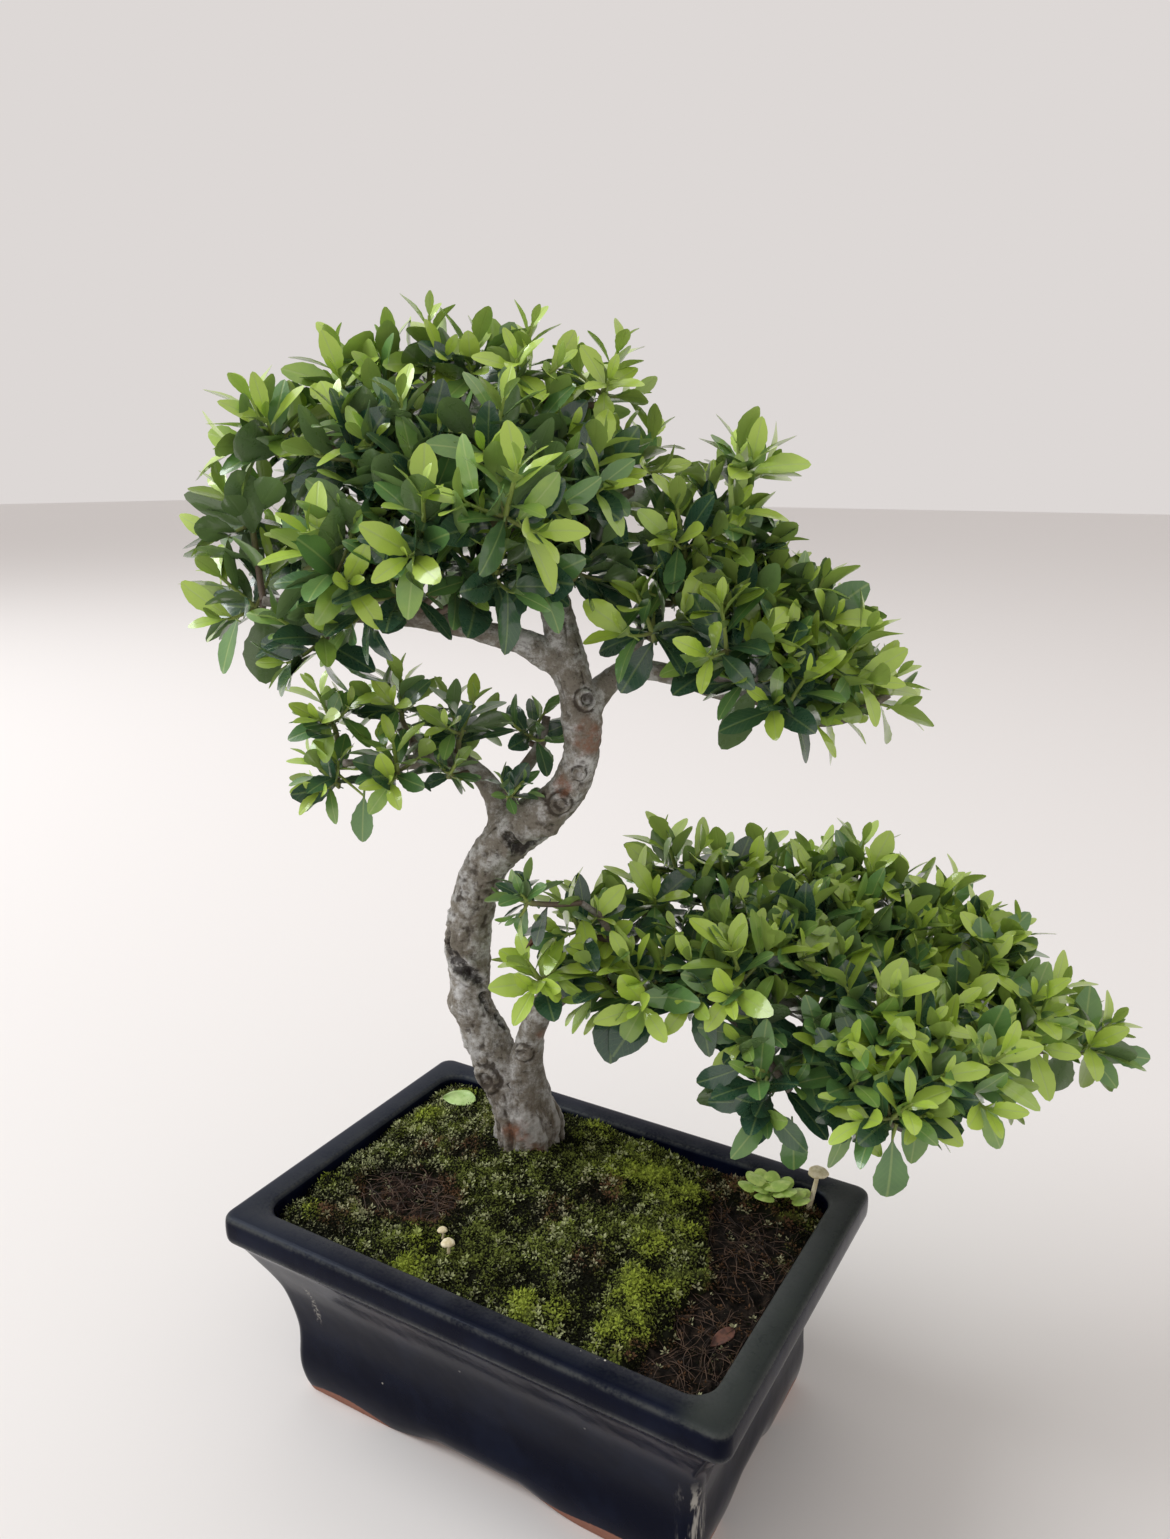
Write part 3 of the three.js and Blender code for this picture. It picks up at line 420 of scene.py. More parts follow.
@dataclass(frozen=True)
class Finish:
    """A named material. Each kind of finish paints its own graph."""

    name: str

    def paint(self, shader: Shader) -> None:
        """Builds the material's graph."""
        raise NotImplementedError

    def material(self) -> bpy.types.Material:
        """Returns the material, made at first use.

        Returns:
            The material.
        """
        found = bpy.data.materials.get(self.name)
        if found is None:
            found = bpy.data.materials.new(self.name)
            self.paint(Shader(found))
        return found


@dataclass(frozen=True)
class LeafFinish(Finish):
    """Waxy holly leaves that darken with age and painted shade, with a pale midrib and a paler
    underside.
    """

    name: str = "holly_leaf"
    young: Colour = srgb(178, 207, 78)
    grown: Colour = srgb(98, 142, 76)
    old: Colour = srgb(48, 82, 62)
    rib: Colour = srgb(168, 190, 112)
    under: Colour = srgb(136, 160, 100)

    def paint(self, shader: Shader) -> None:
        """Builds the material's graph.

        Args:
            shader: The graph to fill.
        """
        tone = shader.attribute("tone")
        across, along, side = shader.parts(shader.vector("blade"))
        across = shader.term("ShaderNodeMath", {"operation": "ABSOLUTE"}, {0: across})
        shade = tone + (shader.noise(7.0, 2.0) - 0.5) * 0.2
        blade = shader.layered(self.young, (shader.span(shade, 0.06, 0.46), self.grown),
                               (shader.span(shade, 0.42, 0.8), self.old))
        slant = (along - across * 0.28) * 58.0
        veins = shader.term("ShaderNodeMath", {"operation": "SINE"}, {0: slant})
        ribbed = shader.span(across, 0.1, 0.02) * (0.5 - shader.span(shade, 0.4, 0.8) * 0.26)
        ribbed = ribbed + shader.span(veins, 0.8, 1.0) * 0.06
        # Paler along the rim, a painted highlight, and darker towards the foot, painted shade, over
        # the real midrib and veins.
        rib_and_edge_highlight = ribbed + shader.span(across, 0.86, 1.0) * 0.16
        foot = shader.span(along, 0.45, 0.0) * 0.3
        upper = shader.layered(blade, (foot, self.old), (rib_and_edge_highlight, self.rib))
        lower = shader.blend(0.5, blade, self.under)
        colour = shader.blend(shader.span(side, -0.01, 0.01), lower, upper)
        relief = shader.span(across, 0.0, 0.14) * 0.6 - shader.span(veins, 0.6, 1.0) * 0.12
        rough = 0.36 - shader.span(tone, 0.2, 0.8) * 0.12 + shader.noise(2.5) * 0.08
        shader.finish(colour, rough, relief + shader.noise(1.6) * 0.2, 0.12,
                      Specular_IOR_Level=0.5, Coat_Weight=0.8, Coat_Roughness=0.1)


@dataclass(frozen=True)
class TwigFinish(Finish):
    """Stems that go from brown wood to fresh green."""

    name: str = "holly_twig"
    wood: Colour = srgb(108, 92, 76)
    dark_wood: Colour = srgb(78, 64, 54)
    green: Colour = srgb(150, 168, 84)

    def paint(self, shader: Shader) -> None:
        """Builds the material's graph.

        Args:
            shader: The graph to fill.
        """
        tone = shader.attribute("tone") + (shader.noise(5.0) - 0.5) * 0.5
        wood = shader.blend(shader.noise(1.4), self.wood, self.dark_wood)
        base = shader.blend(shader.span(tone, 0.25, 0.8), wood, self.green)
        shader.finish(base, 0.62, shader.noise(0.8), 0.12)


@dataclass(frozen=True)
class BarkFinish(Finish):
    """Grey-tan bark with dark cracks, pale worn patches, reddish scars and dark scars, partly
    painted shade in hollows, folds and knots.
    """

    name: str = "holly_bark"
    crack: Colour = srgb(58, 50, 42)
    skin: Colour = srgb(130, 124, 113)
    pale: Colour = srgb(198, 198, 196)
    brown: Colour = srgb(92, 80, 66)
    red: Colour = srgb(138, 86, 60)
    # Dark of lost bark, and painted shade in hollows, folds and a burl's hole.
    scar_and_hollow_shade: Colour = srgb(34, 30, 29)

    def paint(self, shader: Shader) -> None:
        """Builds the material's graph.

        Args:
            shader: The graph to fill.
        """
        relief = shader.attribute("relief")
        fine = shader.noise(1.1, 4.0, 0.6)
        patch = shader.noise(9.0, 6.0, 0.7)
        band = shader.noise(3.4, 5.0, 0.7, shader.stretched((1.0, 1.0, 2.0)))
        mottle = shader.noise(2.6, 5.0, 0.7)
        grain = shader.noise(0.8, 3.0, 0.6, shader.stretched((1.0, 1.0, 0.5)))
        low = shader.span(shader.parts(shader.place)[2], 132.0, 92.0)
        streak = shader.noise(1.6, 4.0, 0.65, shader.stretched((1.0, 1.0, 0.28)))
        speck = shader.span(shader.cells(2.1), 0.22, 0.06)
        speck = speck * shader.span(shader.noise(6.0), 0.48, 0.58)
        # Dark cracks, and painted shade in each knot's groove and sunken middle.
        deep = shader.span(relief + (fine - 0.5) * 0.8, -0.05, -0.8)
        raised = shader.span(relief + (fine - 0.5) * 0.6, 0.3, 1.0)
        rusty = shader.attribute("rusty") * shader.span(mottle, 0.3, 0.6)
        # Bark lost at flakes, and painted shade in hollows, folds and a burl's hole.
        torn_and_shaded = shader.attribute("scarred") * (shader.noise(2.4, 5.0, 0.65) * 3.2 - 0.7)
        body = shader.layered(
            self.skin,
            (shader.span(patch, 0.42, 0.64), self.pale),
            (shader.span(band, 0.5, 0.7) * 0.6, self.brown),
            (shader.span(mottle, 0.54, 0.66) * 0.32, self.crack),
            (shader.span(grain, 0.56, 0.72) * 0.4, self.crack),
            (low * (0.38 + mottle * 0.5), self.brown),
            (low * shader.span(streak, 0.48, 0.64) * 0.7, self.crack),
            (speck * 0.4, self.crack),
            (deep * 0.85, self.crack),
            (raised * 0.45, self.pale),
            (shader.attribute("thin") * 0.6, self.brown),
            (rusty * (0.2 + fine * 0.7), self.red),
            (shader.span(torn_and_shaded, 0.25, 1.0) * 0.85, self.scar_and_hollow_shade))
        height = fine * 0.6 + band * 0.3 + mottle * 0.4 + grain * 0.3 - speck * 0.4
        shader.finish(body, 0.84, height, 0.55, Specular_IOR_Level=0.3)


@dataclass(frozen=True)
class GlazeFinish(Finish):
    """Near-black navy glaze, worn at the edges with painted highlights there, with lime marks and
    bare clay under the feet.
    """

    name: str = "navy_glaze"
    glaze: Colour = srgb(5, 7, 24)
    sheen: Colour = srgb(13, 18, 36)
    # Glaze worn thin at the edges, also a painted highlight line along them.
    thin: Colour = srgb(78, 80, 78)
    # Dust on the rim's top, partly a painted reflection, lighter towards the left.
    dust_and_reflection: Colour = srgb(40, 44, 54)
    # A painted greenish reflection on the right end of the rim's top.
    rim_reflection_strip: Colour = srgb(54, 58, 55)
    lime: Colour = srgb(196, 192, 182)
    clay: Colour = srgb(136, 92, 78)
    pale_clay: Colour = srgb(158, 116, 98)

    def paint(self, shader: Shader) -> None:
        """Builds the material's graph.

        Args:
            shader: The graph to fill.
        """
        x, y, z = shader.parts(shader.place)
        edge = shader.attribute("edge")
        lip = shader.attribute("lip")
        grain = shader.noise(1.2, 3.0)
        # Dust over the rim's top with a painted reflection that grows towards the left.
        dust_and_reflection = lip * (0.05 + shader.noise(30.0, 3.0) * 0.3 + shader.span(x, -20.0, -100.0) * 0.7)
        # Painted reflection on the rim's top at its right end.
        rim_reflection_strip = lip * shader.span(x, 84.0, 94.0) * (0.7 + shader.noise(9.0) * 0.3)
        # Wear along the rim's edges, partly a painted highlight line.
        worn = edge * shader.span(shader.noise(11.0) * 0.5 + grain * 0.5, 0.3, 0.62)
        lime = self._lime(shader, x, y, z, grain)
        bare = shader.span(shader.attribute("bare") + (grain - 0.5) * 0.8, -0.25, 0.25)
        base = shader.layered(
            self.glaze,
            (shader.span(shader.noise(22.0, 4.0), 0.4, 0.7), self.sheen),
            (dust_and_reflection, self.dust_and_reflection),
            (rim_reflection_strip, self.rim_reflection_strip),
            (worn * 0.7, self.thin),
            (lime, self.lime),
            (bare, shader.blend(shader.noise(2.0), self.clay, self.pale_clay)))
        rough = 0.1 + dust_and_reflection * 0.22 + rim_reflection_strip * 0.12 + worn * 0.2 + lime * 0.5 + bare * 0.6
        rough = rough + shader.noise(3.0) * 0.05
        height = shader.noise(18.0, 2.0) * 0.8 + grain * 0.04 + lime * 0.1
        shader.finish(base, rough, height, 0.35,
                      Specular_IOR_Level=0.07, Specular_Tint=(0.7, 0.8, 1.0))

    @staticmethod
    def _lime(shader: Shader, x: Term, y: Term, z: Term, grain: Term) -> Term:
        """Pale marks of water: flecks inside the rim, a drip and streaks down one corner.

        Args:
            shader: The graph to fill.
            x, y, z: The place on the pot.
            grain: Fine noise.

        Returns:
            How pale the glaze is, from 0 to 1.
        """
        span, noise_of = shader.span, shader.noise
        flecks = span(shader.cells(1.6), 0.3, 0.12) * span(noise_of(5.0), 0.5, 0.62)
        inner = span(y, -63.5, -61.5) * span(y, -58.0, -60.5) * span(z, 80.0, 82.5)
        inner = inner * span(x, 15.0, 30.0) * span(x, 78.0, 60.0)
        front = span(y, -40.0, -52.0)
        wander = (noise_of(9.0) - 0.5) * 6.0
        drip = span(x + wander, -74.0, -72.6) * span(x + wander, -70.4, -71.8)
        drip = drip * front * span(z, 34.0, 40.0) * span(z, 62.0, 56.0) * 0.45
        fall = noise_of(2.6, 3.0, 0.6, shader.stretched((1.0, 1.0, 0.16)))
        corner = span(x, 78.0, 88.0) * front * span(z, 4.0, 12.0) * span(z, 52.0, 34.0)
        streaks = corner * span(fall, 0.48, 0.66) * 0.6
        sparse = span(noise_of(30.0), 0.52, 0.6)
        specks = span(shader.cells(9.0), 0.07, 0.03) * front * span(z, 72.0, 40.0) * sparse * 0.5
        marks = inner * flecks * 2.0 + drip * span(grain, 0.4, 0.6) + streaks + specks
        return shader.span(marks, 0.0, 1.0)


@dataclass(frozen=True)
class SoilFinish(Finish):
    """Damp dark soil with reddish fibres."""

    name: str = "potting_soil"
    damp: Colour = srgb(14, 12, 10)
    dry: Colour = srgb(44, 36, 30)
    fibre: Colour = srgb(70, 52, 44)
    grit: Colour = srgb(150, 134, 112)

    def paint(self, shader: Shader) -> None:
        """Builds the material's graph.

        Args:
            shader: The graph to fill.
        """
        lump = shader.noise(3.0, 5.0, 0.65)
        grain = shader.noise(0.9, 3.0, 0.6)
        span = shader.span
        speck = span(shader.cells(2.6), 0.16, 0.08) * span(shader.noise(4.0), 0.5, 0.6)
        base = shader.layered(
            self.damp,
            (shader.span(lump, 0.4, 0.66), self.dry),
            (shader.attribute("fibrous") * shader.span(grain, 0.4, 0.7), self.fibre),
            (speck * 0.35, self.grit))
        shader.finish(base, 0.95, lump * 0.6 + grain * 0.4, 0.8, Specular_IOR_Level=0.1)


@dataclass(frozen=True)
class MossFinish(Finish):
    """Living moss, from dark olive to bright yellow-green, with brown where it dries and painted
    shade in its hollows.
    """

    name: str = "living_moss"
    dark: Colour = srgb(18, 19, 9)
    olive: Colour = srgb(106, 116, 54)
    bright: Colour = srgb(142, 156, 58)
    pale: Colour = srgb(188, 192, 150)
    brown: Colour = srgb(96, 70, 50)

    def paint(self, shader: Shader) -> None:
        """Builds the material's graph.

        Args:
            shader: The graph to fill.
        """
        bright = shader.attribute("bright")
        lift = shader.attribute("lift")
        chance = shader.attribute("chance")
        patch = shader.noise(9.0, 3.0)
        # Painted shade where the cushion sinks.
        hollow = shader.attribute("hollow")
        shade = bright * 1.1 + (chance - 0.5) * 0.7 + (patch - 0.5) * 1.2 - hollow * 0.3
        dry = shader.attribute("dry") + (shader.noise(5.0) - 0.5) * 0.8 + (chance - 0.5) * 0.5
        # Pale tips, partly painted glints, more of them towards the left.
        left = shader.span(shader.parts(shader.place)[0], -35.0, -85.0)
        chosen, plain = shader.span(chance + left * 0.25, 0.86, 0.92), shader.span(bright, 0.9, 0.2)
        pale_tips_and_glints = chosen * plain * 0.6
        tip = shader.layered(self.olive, (shader.span(shade, 0.1, 1.0), self.bright),
                             (shader.span(dry, 0.25, 0.6), self.brown), (pale_tips_and_glints, self.pale))
        # Darker towards each tuft's foot, and painted shade in the hollows.
        lit = lift + bright * 0.3 + (chance - 0.5) * 0.5 - hollow * 0.7
        lit = lit + (shader.noise(6.0, 3.0) - 0.5) * 1.4
        base = shader.blend(shader.span(lit, 0.0, 0.85), self.dark, tip)
        shader.finish(base, 0.95, shader.noise(0.7), 0.2, Specular_IOR_Level=0.12)


@dataclass(frozen=True)
class PlainFinish(Finish):
    """A finish of two mottled colours."""

    first: Colour = (0.5, 0.5, 0.5)
    second: Colour = (0.4, 0.4, 0.4)
    mottle: float = 2.0
    roughness: float = 0.6
    relief: float = 0.1

    def paint(self, shader: Shader) -> None:
        """Builds the material's graph.

        Args:
            shader: The graph to fill.
        """
        patch = shader.noise(self.mottle, 3.0)
        base = shader.blend(shader.span(patch, 0.35, 0.65), self.first, self.second)
        rough = self.roughness + (patch - 0.5) * 0.12
        shader.finish(base, rough, shader.noise(self.mottle / 3), self.relief)


LEAF = LeafFinish()
TWIG = TwigFinish()
BARK = BarkFinish()
GLAZE = GlazeFinish()
SOIL = SoilFinish()
MOSS = MossFinish()
ROOTLET = PlainFinish("rootlet", srgb(92, 70, 54), srgb(40, 30, 24), 4.0, 0.8, 0.05)
SEEDLING = PlainFinish("seedling_leaf", srgb(194, 216, 118), srgb(160, 194, 88), 3.0, 0.5, 0.1)
MUSHROOM = PlainFinish("mushroom_cap", srgb(232, 222, 192), srgb(206, 192, 152), 2.2, 0.7, 0.1)
PALE_LEAF = PlainFinish("shed_pale_leaf", srgb(186, 212, 142), srgb(166, 198, 120), 3.0, 0.45, 0.1)
BROWN_LEAF = PlainFinish("shed_brown_leaf", srgb(108, 70, 56), srgb(76, 50, 42), 2.0, 0.7, 0.1)
SCREEN = PlainFinish("screen_plastic", srgb(34, 34, 36), srgb(24, 24, 26), 1.5, 0.55, 0.08)


# Meshes.


@dataclass
class Shape:
    """A mesh that grows piece by piece, with numbers at its points."""

    points: list = field(default_factory=list)
    faces: list = field(default_factory=list)
    values: dict = field(default_factory=dict)
    count: int = 0

    def add(self, points: np.ndarray, faces: Iterable[Sequence[int]], **values: np.ndarray) -> None:
        """Adds points, faces that name them from 0, and a number or a row for each point.

        Args:
            points: Points, one in each row.
            faces: The points of each face.
            **values: Numbers or rows for the points, by name.
        """
        self.faces.extend([[index + self.count for index in face] for face in faces])
        self.points.append(np.asarray(points, float))
        self.count += len(points)
        for name, value in values.items():
            rows = np.broadcast_to(value, (len(points),) + np.shape(value)[1:])
            self.values.setdefault(name, []).append(rows)

    def object(self, name: str, finish: Optional[Finish] = None,
               smooth: bool = True) -> bpy.types.Object:
        """Makes the object, whose points are already in metres of the shared frame.

        Args:
            name: The piece's name.
            finish: Its finish, where it has one.
            smooth: Whether it is shaded smooth.

        Returns:
            The object, at the origin.
        """
        mesh = bpy.data.meshes.new(name)
        mesh.from_pydata(np.concatenate(self.points), [], self.faces)
        for key, value in self.values.items():
            attach(mesh, key, np.concatenate(value))
        mesh.polygons.foreach_set("use_smooth", [smooth] * len(mesh.polygons))
        if finish:
            mesh.materials.append(finish.material())
        return placed(name, mesh)


def attach(mesh: bpy.types.Mesh, name: str, values: np.ndarray) -> None:
    """Gives a mesh a number or a vector for each of its points.

    Args:
        mesh: The mesh.
        name: The values' name.
        values: Numbers or rows, one for each point.
    """
    kind, key = ("FLOAT_VECTOR", "vector") if np.ndim(values) == 2 else ("FLOAT", "value")
    layer = mesh.attributes.new(name, kind, "POINT")
    layer.data.foreach_set(key, np.ascontiguousarray(values, np.float32).ravel())


def placed(name: str, mesh: bpy.types.Mesh) -> bpy.types.Object:
    """Links a mesh to the scene as an object at the origin.

    Args:
        name: The object's name.
        mesh: Its mesh.

    Returns:
        The object.
    """
    made = bpy.data.objects.new(name, mesh)
    bpy.context.scene.collection.objects.link(made)
    return made


def baked(piece: bpy.types.Object) -> bpy.types.Object:
    """Turns what a piece's modifiers give into its plain mesh.

    Args:
        piece: The piece with its modifiers.

    Returns:
        The same piece without them.
    """
    graph = bpy.context.evaluated_depsgraph_get()
    mesh = bpy.data.meshes.new_from_object(
        piece.evaluated_get(graph), preserve_all_data_layers=True, depsgraph=graph)
    piece.modifiers.clear()
    piece.data = mesh
    mesh.name = piece.name
    return piece


def dress(piece: bpy.types.Object, slot: str, *nodes: str) -> None:
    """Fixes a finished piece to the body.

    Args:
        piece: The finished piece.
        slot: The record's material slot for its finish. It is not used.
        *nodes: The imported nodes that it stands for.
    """
    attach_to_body(piece, BODY)
    if nodes:
        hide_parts(*nodes)
    log.info("%s: %d faces", piece.name, len(piece.data.polygons))


def grid_faces(rows: int, columns: int, closed: bool = True) -> list[tuple[int, int, int, int]]:
    """Faces of a grid of points whose rows may close in rings.

    Args:
        rows: How many rows there are.
        columns: Points in each row.
        closed: Whether each row closes in a ring.

    Returns:
        The faces.
    """
    faces = []
    for row in range(rows - 1):
        for column in range(columns if closed else columns - 1):
            after = (column + 1) % columns
            a, b = row * columns + column, row * columns + after
            faces.append((a, b, b + columns, a + columns))
    return faces


def capped(rows: int, columns: int) -> list[tuple[int, ...]]:
    """Faces of a closed skin over rings that run anticlockwise about their way.

    Args:
        rows: How many rings there are.
        columns: Points in each ring.

    Returns:
        The faces, with both ends.
    """
    last = (rows - 1) * columns
    ends = [tuple(range(columns - 1, -1, -1)), tuple(range(last, last + columns))]
    return grid_faces(rows, columns) + ends


# What repeats.


class Repeater:
    """A Geometry Nodes tree with named inputs, run once on a piece and then baked."""

    def __init__(self, name: str) -> None:
        """Starts a tree with the piece's own geometry as its first input.

        Args:
            name: The tree's name.
        """
        self.tree = bpy.data.node_groups.new(name, "GeometryNodeTree")
        self.graph = Graph(self.tree)
        self.names: dict[str, str] = {}
        self.declare("Geometry", "NodeSocketGeometry")
        self.tree.interface.new_socket(
            "Geometry", in_out="OUTPUT", socket_type="NodeSocketGeometry")
        self.start = None

    def declare(self, name: str, kind: str) -> None:
        """Adds a named input."""
        socket = self.tree.interface.new_socket(name, in_out="INPUT", socket_type=kind)
        self.names[name] = socket.identifier

    def begin(self) -> None:
        """Adds the node that gives the inputs, once all are declared."""
        self.start = self.graph.node("NodeGroupInput")

    def given(self, name: str) -> Term:
        """Returns one of the inputs."""
        return Term(self.graph, self.start.outputs[name])

    def number(self, name: str) -> Term:
        """Reads a number that the points carry."""
        settings = {"data_type": "FLOAT"}
        return self.graph.term("GeometryNodeInputNamedAttribute", settings, {"Name": name})

    def vector(self, name: str) -> Term:
        """Reads a vector that the points carry."""
        return self.graph.term("GeometryNodeInputNamedAttribute", {"data_type": "FLOAT_VECTOR"},
                               {"Name": name})

    def end(self, geometry: Term) -> None:
        """Ends the tree in the given finish.

        Args:
            geometry: What the tree has made.
        """
        finished = self.graph.term("GeometryNodeSetMaterial", None,
                                   {"Geometry": geometry, "Material": self.given("Finish")})
        self.graph.node("NodeGroupOutput", None, {"Geometry": finished})

    def run(self, piece: bpy.types.Object, **inputs: object) -> bpy.types.Object:
        """Runs the tree on a piece.

        Args:
            piece: The piece that the tree starts from.
            **inputs: A value for each named input, with words joined by underscores.

        Returns:
            The piece as a plain mesh.
        """
        modifier = piece.modifiers.new(self.tree.name, "NODES")
        modifier.node_group = self.tree
        for name, value in inputs.items():
            modifier[self.names[name.replace("_", " ")]] = value
        return baked(piece)


class LeafRepeater(Repeater):
    """Sets a blade on every point, and bends and turns it as the point says."""

    def __init__(self) -> None:
        """Builds the tree."""
        super().__init__("leaves_on_shoots")
        self.declare("Blade", "NodeSocketObject")
        self.declare("Thickness", "NodeSocketFloat")
        self.declare("Finish", "NodeSocketMaterial")
        self.begin()
        graph = self.graph
        pattern = {"Object": self.given("Blade")}
        blade = graph.term("GeometryNodeObjectInfo", None, pattern, "Geometry")
        fixed = {"Points": self.given("Geometry"), "Instance": blade}
        instances = graph.term("GeometryNodeInstanceOnPoints", None, fixed)
        leaves = graph.term("GeometryNodeRealizeInstances", None, {"Geometry": instances})
        across, reach, side = graph.parts(self.vector("blade"))
        length, width, sag = graph.parts(self.vector("size"))
        cup, twist, spread = graph.parts(self.vector("bend"))
        half = across * width * 0.5 * (spread * (reach - 0.5) + 1.0)
        lift = cup * width * across * across - sag * length * reach * reach + half * twist * reach
        lift = lift + side * self.given("Thickness")
        along, face, left = self.vector("along"), self.vector("face"), self.vector("left")
        foot = self.vector("foot")
        where = graph.summed(foot, graph.scaled(along, length * reach), graph.scaled(left, half),
                             graph.scaled(face, lift))
        bent = graph.term("GeometryNodeSetPosition", None, {"Geometry": leaves, "Position": where})
        self.end(bent)


class StemRepeater(Repeater):
    """Gives every line of points a round stem as thick as its points say."""

    def __init__(self) -> None:
        """Builds the tree."""
        super().__init__("stems_along_lines")
        self.declare("Sides", "NodeSocketInt")
        self.declare("Finish", "NodeSocketMaterial")
        self.begin()
        graph = self.graph
        line = graph.term("GeometryNodeMeshToCurve", None, {"Mesh": self.given("Geometry")})
        ring = graph.term("GeometryNodeCurvePrimitiveCircle", None,
                          {"Resolution": self.given("Sides"), "Radius": 1.0})
        stems = graph.term("GeometryNodeCurveToMesh", None, {
            "Curve": line, "Profile Curve": ring, "Scale": self.number("girth"),
            "Fill Caps": True})
        smooth = graph.term("GeometryNodeSetShadeSmooth", None, {
            "Geometry": stems, "Shade Smooth": True})
        self.end(graph.term("GeometryNodeRealizeInstances", None, {"Geometry": smooth}))


class TuftRepeater(Repeater):
    """Scatters tufts over a surface as densely as its growth says."""

    tilt = 0.45

    def __init__(self) -> None:
        """Builds the tree."""
        super().__init__("tufts_on_ground")
        self.declare("Tuft", "NodeSocketObject")
        for name in ("Density", "Spacing", "Least", "Most"):
            self.declare(name, "NodeSocketFloat")
        self.declare("Seed", "NodeSocketInt")
        self.declare("Finish", "NodeSocketMaterial")
        self.begin()
        graph = self.graph
        settings = {"distribute_method": "POISSON"}
        scatter = graph.node("GeometryNodeDistributePointsOnFaces", settings, {
            "Mesh": self.given("Geometry"), "Distance Min": self.given("Spacing"),
            "Density Max": self.given("Density"), "Density Factor": self.number("growth"),
            "Seed": self.given("Seed")})
        points = Term(graph, scatter.outputs["Points"])
        seed = {"Seed": self.given("Seed")}
        chance = graph.term("FunctionNodeRandomValue", {"data_type": "FLOAT"}, seed)
        settings = {"data_type": "FLOAT", "domain": "POINT"}
        points = graph.term("GeometryNodeStoreNamedAttribute", settings,
                            {"Geometry": points, "Name": "chance", "Value": chance})
        spins = {0: (-self.tilt, -self.tilt, 0.0), 1: (self.tilt, self.tilt, math.tau)}
        spin = graph.term("FunctionNodeRandomValue", {"data_type": "FLOAT_VECTOR"},
                          {**spins, "Seed": self.given("Seed")})
        turn = graph.term("FunctionNodeEulerToRotation", None, {"Euler": spin})
        tilt = graph.term("FunctionNodeRotateRotation", {"rotation_space": "LOCAL"},
                          {"Rotation": Term(graph, scatter.outputs["Rotation"]), "Rotate By": turn})
        share = self.number("chance") * self.number("height")
        size = share * (self.given("Most") - self.given("Least")) + self.given("Least")
        pattern = {"Object": self.given("Tuft")}
        tuft = graph.term("GeometryNodeObjectInfo", None, pattern, "Geometry")
        instances = graph.term("GeometryNodeInstanceOnPoints", None, {
            "Points": points, "Rotation": tilt, "Scale": size, "Instance": tuft})
        self.end(graph.term("GeometryNodeRealizeInstances", None, {"Geometry": instances}))


# The tree.


SPLINE_PARTS = 16
LEAST_RADIUS = 0.3
STEEP = 0.9


@dataclass
class Run:
    """Samples along a stem or a bough, in the tree's frame."""

    points: np.ndarray
    radii: np.ndarray

    @classmethod
    def through(cls, listed: Sequence[Sequence[float]], step: float) -> "Run":
        """Makes a smooth run through listed points.

        Args:
            listed: Points with a radius each.
            step: Distance between the samples.

        Returns:
            The run, with samples at even distances.
        """
        knots = np.array(listed, float)
        knots = np.vstack([2 * knots[0] - knots[1], knots, 2 * knots[-1] - knots[-2]])
        dense = []
        for a, b, c, d in zip(knots, knots[1:], knots[2:], knots[3:]):
            for share in np.linspace(0, 1, SPLINE_PARTS, endpoint=False):
                squared, cubed = 2 * a - 5 * b + 4 * c - d, 3 * b - a - 3 * c + d
                dense.append(0.5 * (2 * b + (c - a) * share + squared * share ** 2
                                    + cubed * share ** 3))
        dense.append(knots[-2])
        dense = np.array(dense)
        strides = np.linalg.norm(np.diff(dense[:, :3], axis=0), axis=1)
        gone = np.concatenate([[0], np.cumsum(strides)])
        count = max(3, int(round(gone[-1] / step)) + 1)
        at = np.linspace(0, gone[-1], count)
        even = np.stack([np.interp(at, gone, dense[:, axis]) for axis in range(4)], axis=1)
        return cls(even[:, :3], np.maximum(even[:, 3], LEAST_RADIUS))

    def frames(self) -> tuple[np.ndarray, np.ndarray, np.ndarray]:
        """Returns the way along, across and over at each sample, without needless turning.

        Returns:
            The three directions at each sample.
        """
        ways = unit(np.gradient(self.points, axis=0))
        across = perpendicular(ways[0])
        rows = []
        for way in ways:
            across = unit(across - way * np.dot(way, across))
            rows.append(across)
        rows = np.array(rows)
        return ways, rows, np.cross(ways, rows)


def perpendicular(way: np.ndarray) -> np.ndarray:
    """Returns a level direction across a way, or one across the X axis for a steep way."""
    aside = UP if abs(way[2]) < STEEP else np.array([1.0, 0, 0])
    return unit(np.cross(way, aside))


class Scar(Enum):
    """Kinds of old wound on the trunk. Creases, burls and knots also darken their folds and hollows
    with painted shade, and some flakes are painted shadow.
    """

    KNOT = "a ring of bark round a sunken middle"
    FLAKE = "a dark ragged patch where bark has come off"
    BURL = "a swelling with a hole"
    RUST = "a reddish patch"
    CREASE = "a narrow dark fold"


@dataclass(frozen=True)
class Wound:
    """One old wound, in the tree's frame, that may be drawn out from one point to another."""

    kind: Scar
    at: tuple[float, float, float]
    radius: float
    to: Optional[tuple[float, float, float]] = None

    def share(self, points: np.ndarray) -> np.ndarray:
        """Returns how far points are from the wound, as a share of its radius.

        Args:
            points: Points in the tree's frame, one in each row.

        Returns:
            The share for each point, 1 at the wound's edge.
        """
        start, end = np.array(self.at), np.array(self.to or self.at)
        line = end - start
        along = np.clip((points - start) @ line / max(line @ line, 1e-9), 0, 1)
        away = np.linalg.norm(points - start - along[:, None] * line, axis=1)
        ragged = noise(points, 5.0, 40) * 0.3 + noise(points, 2.2, 41) * 0.28
        return away / self.radius + ragged * (0.3 if self.kind is Scar.KNOT else 1.0)


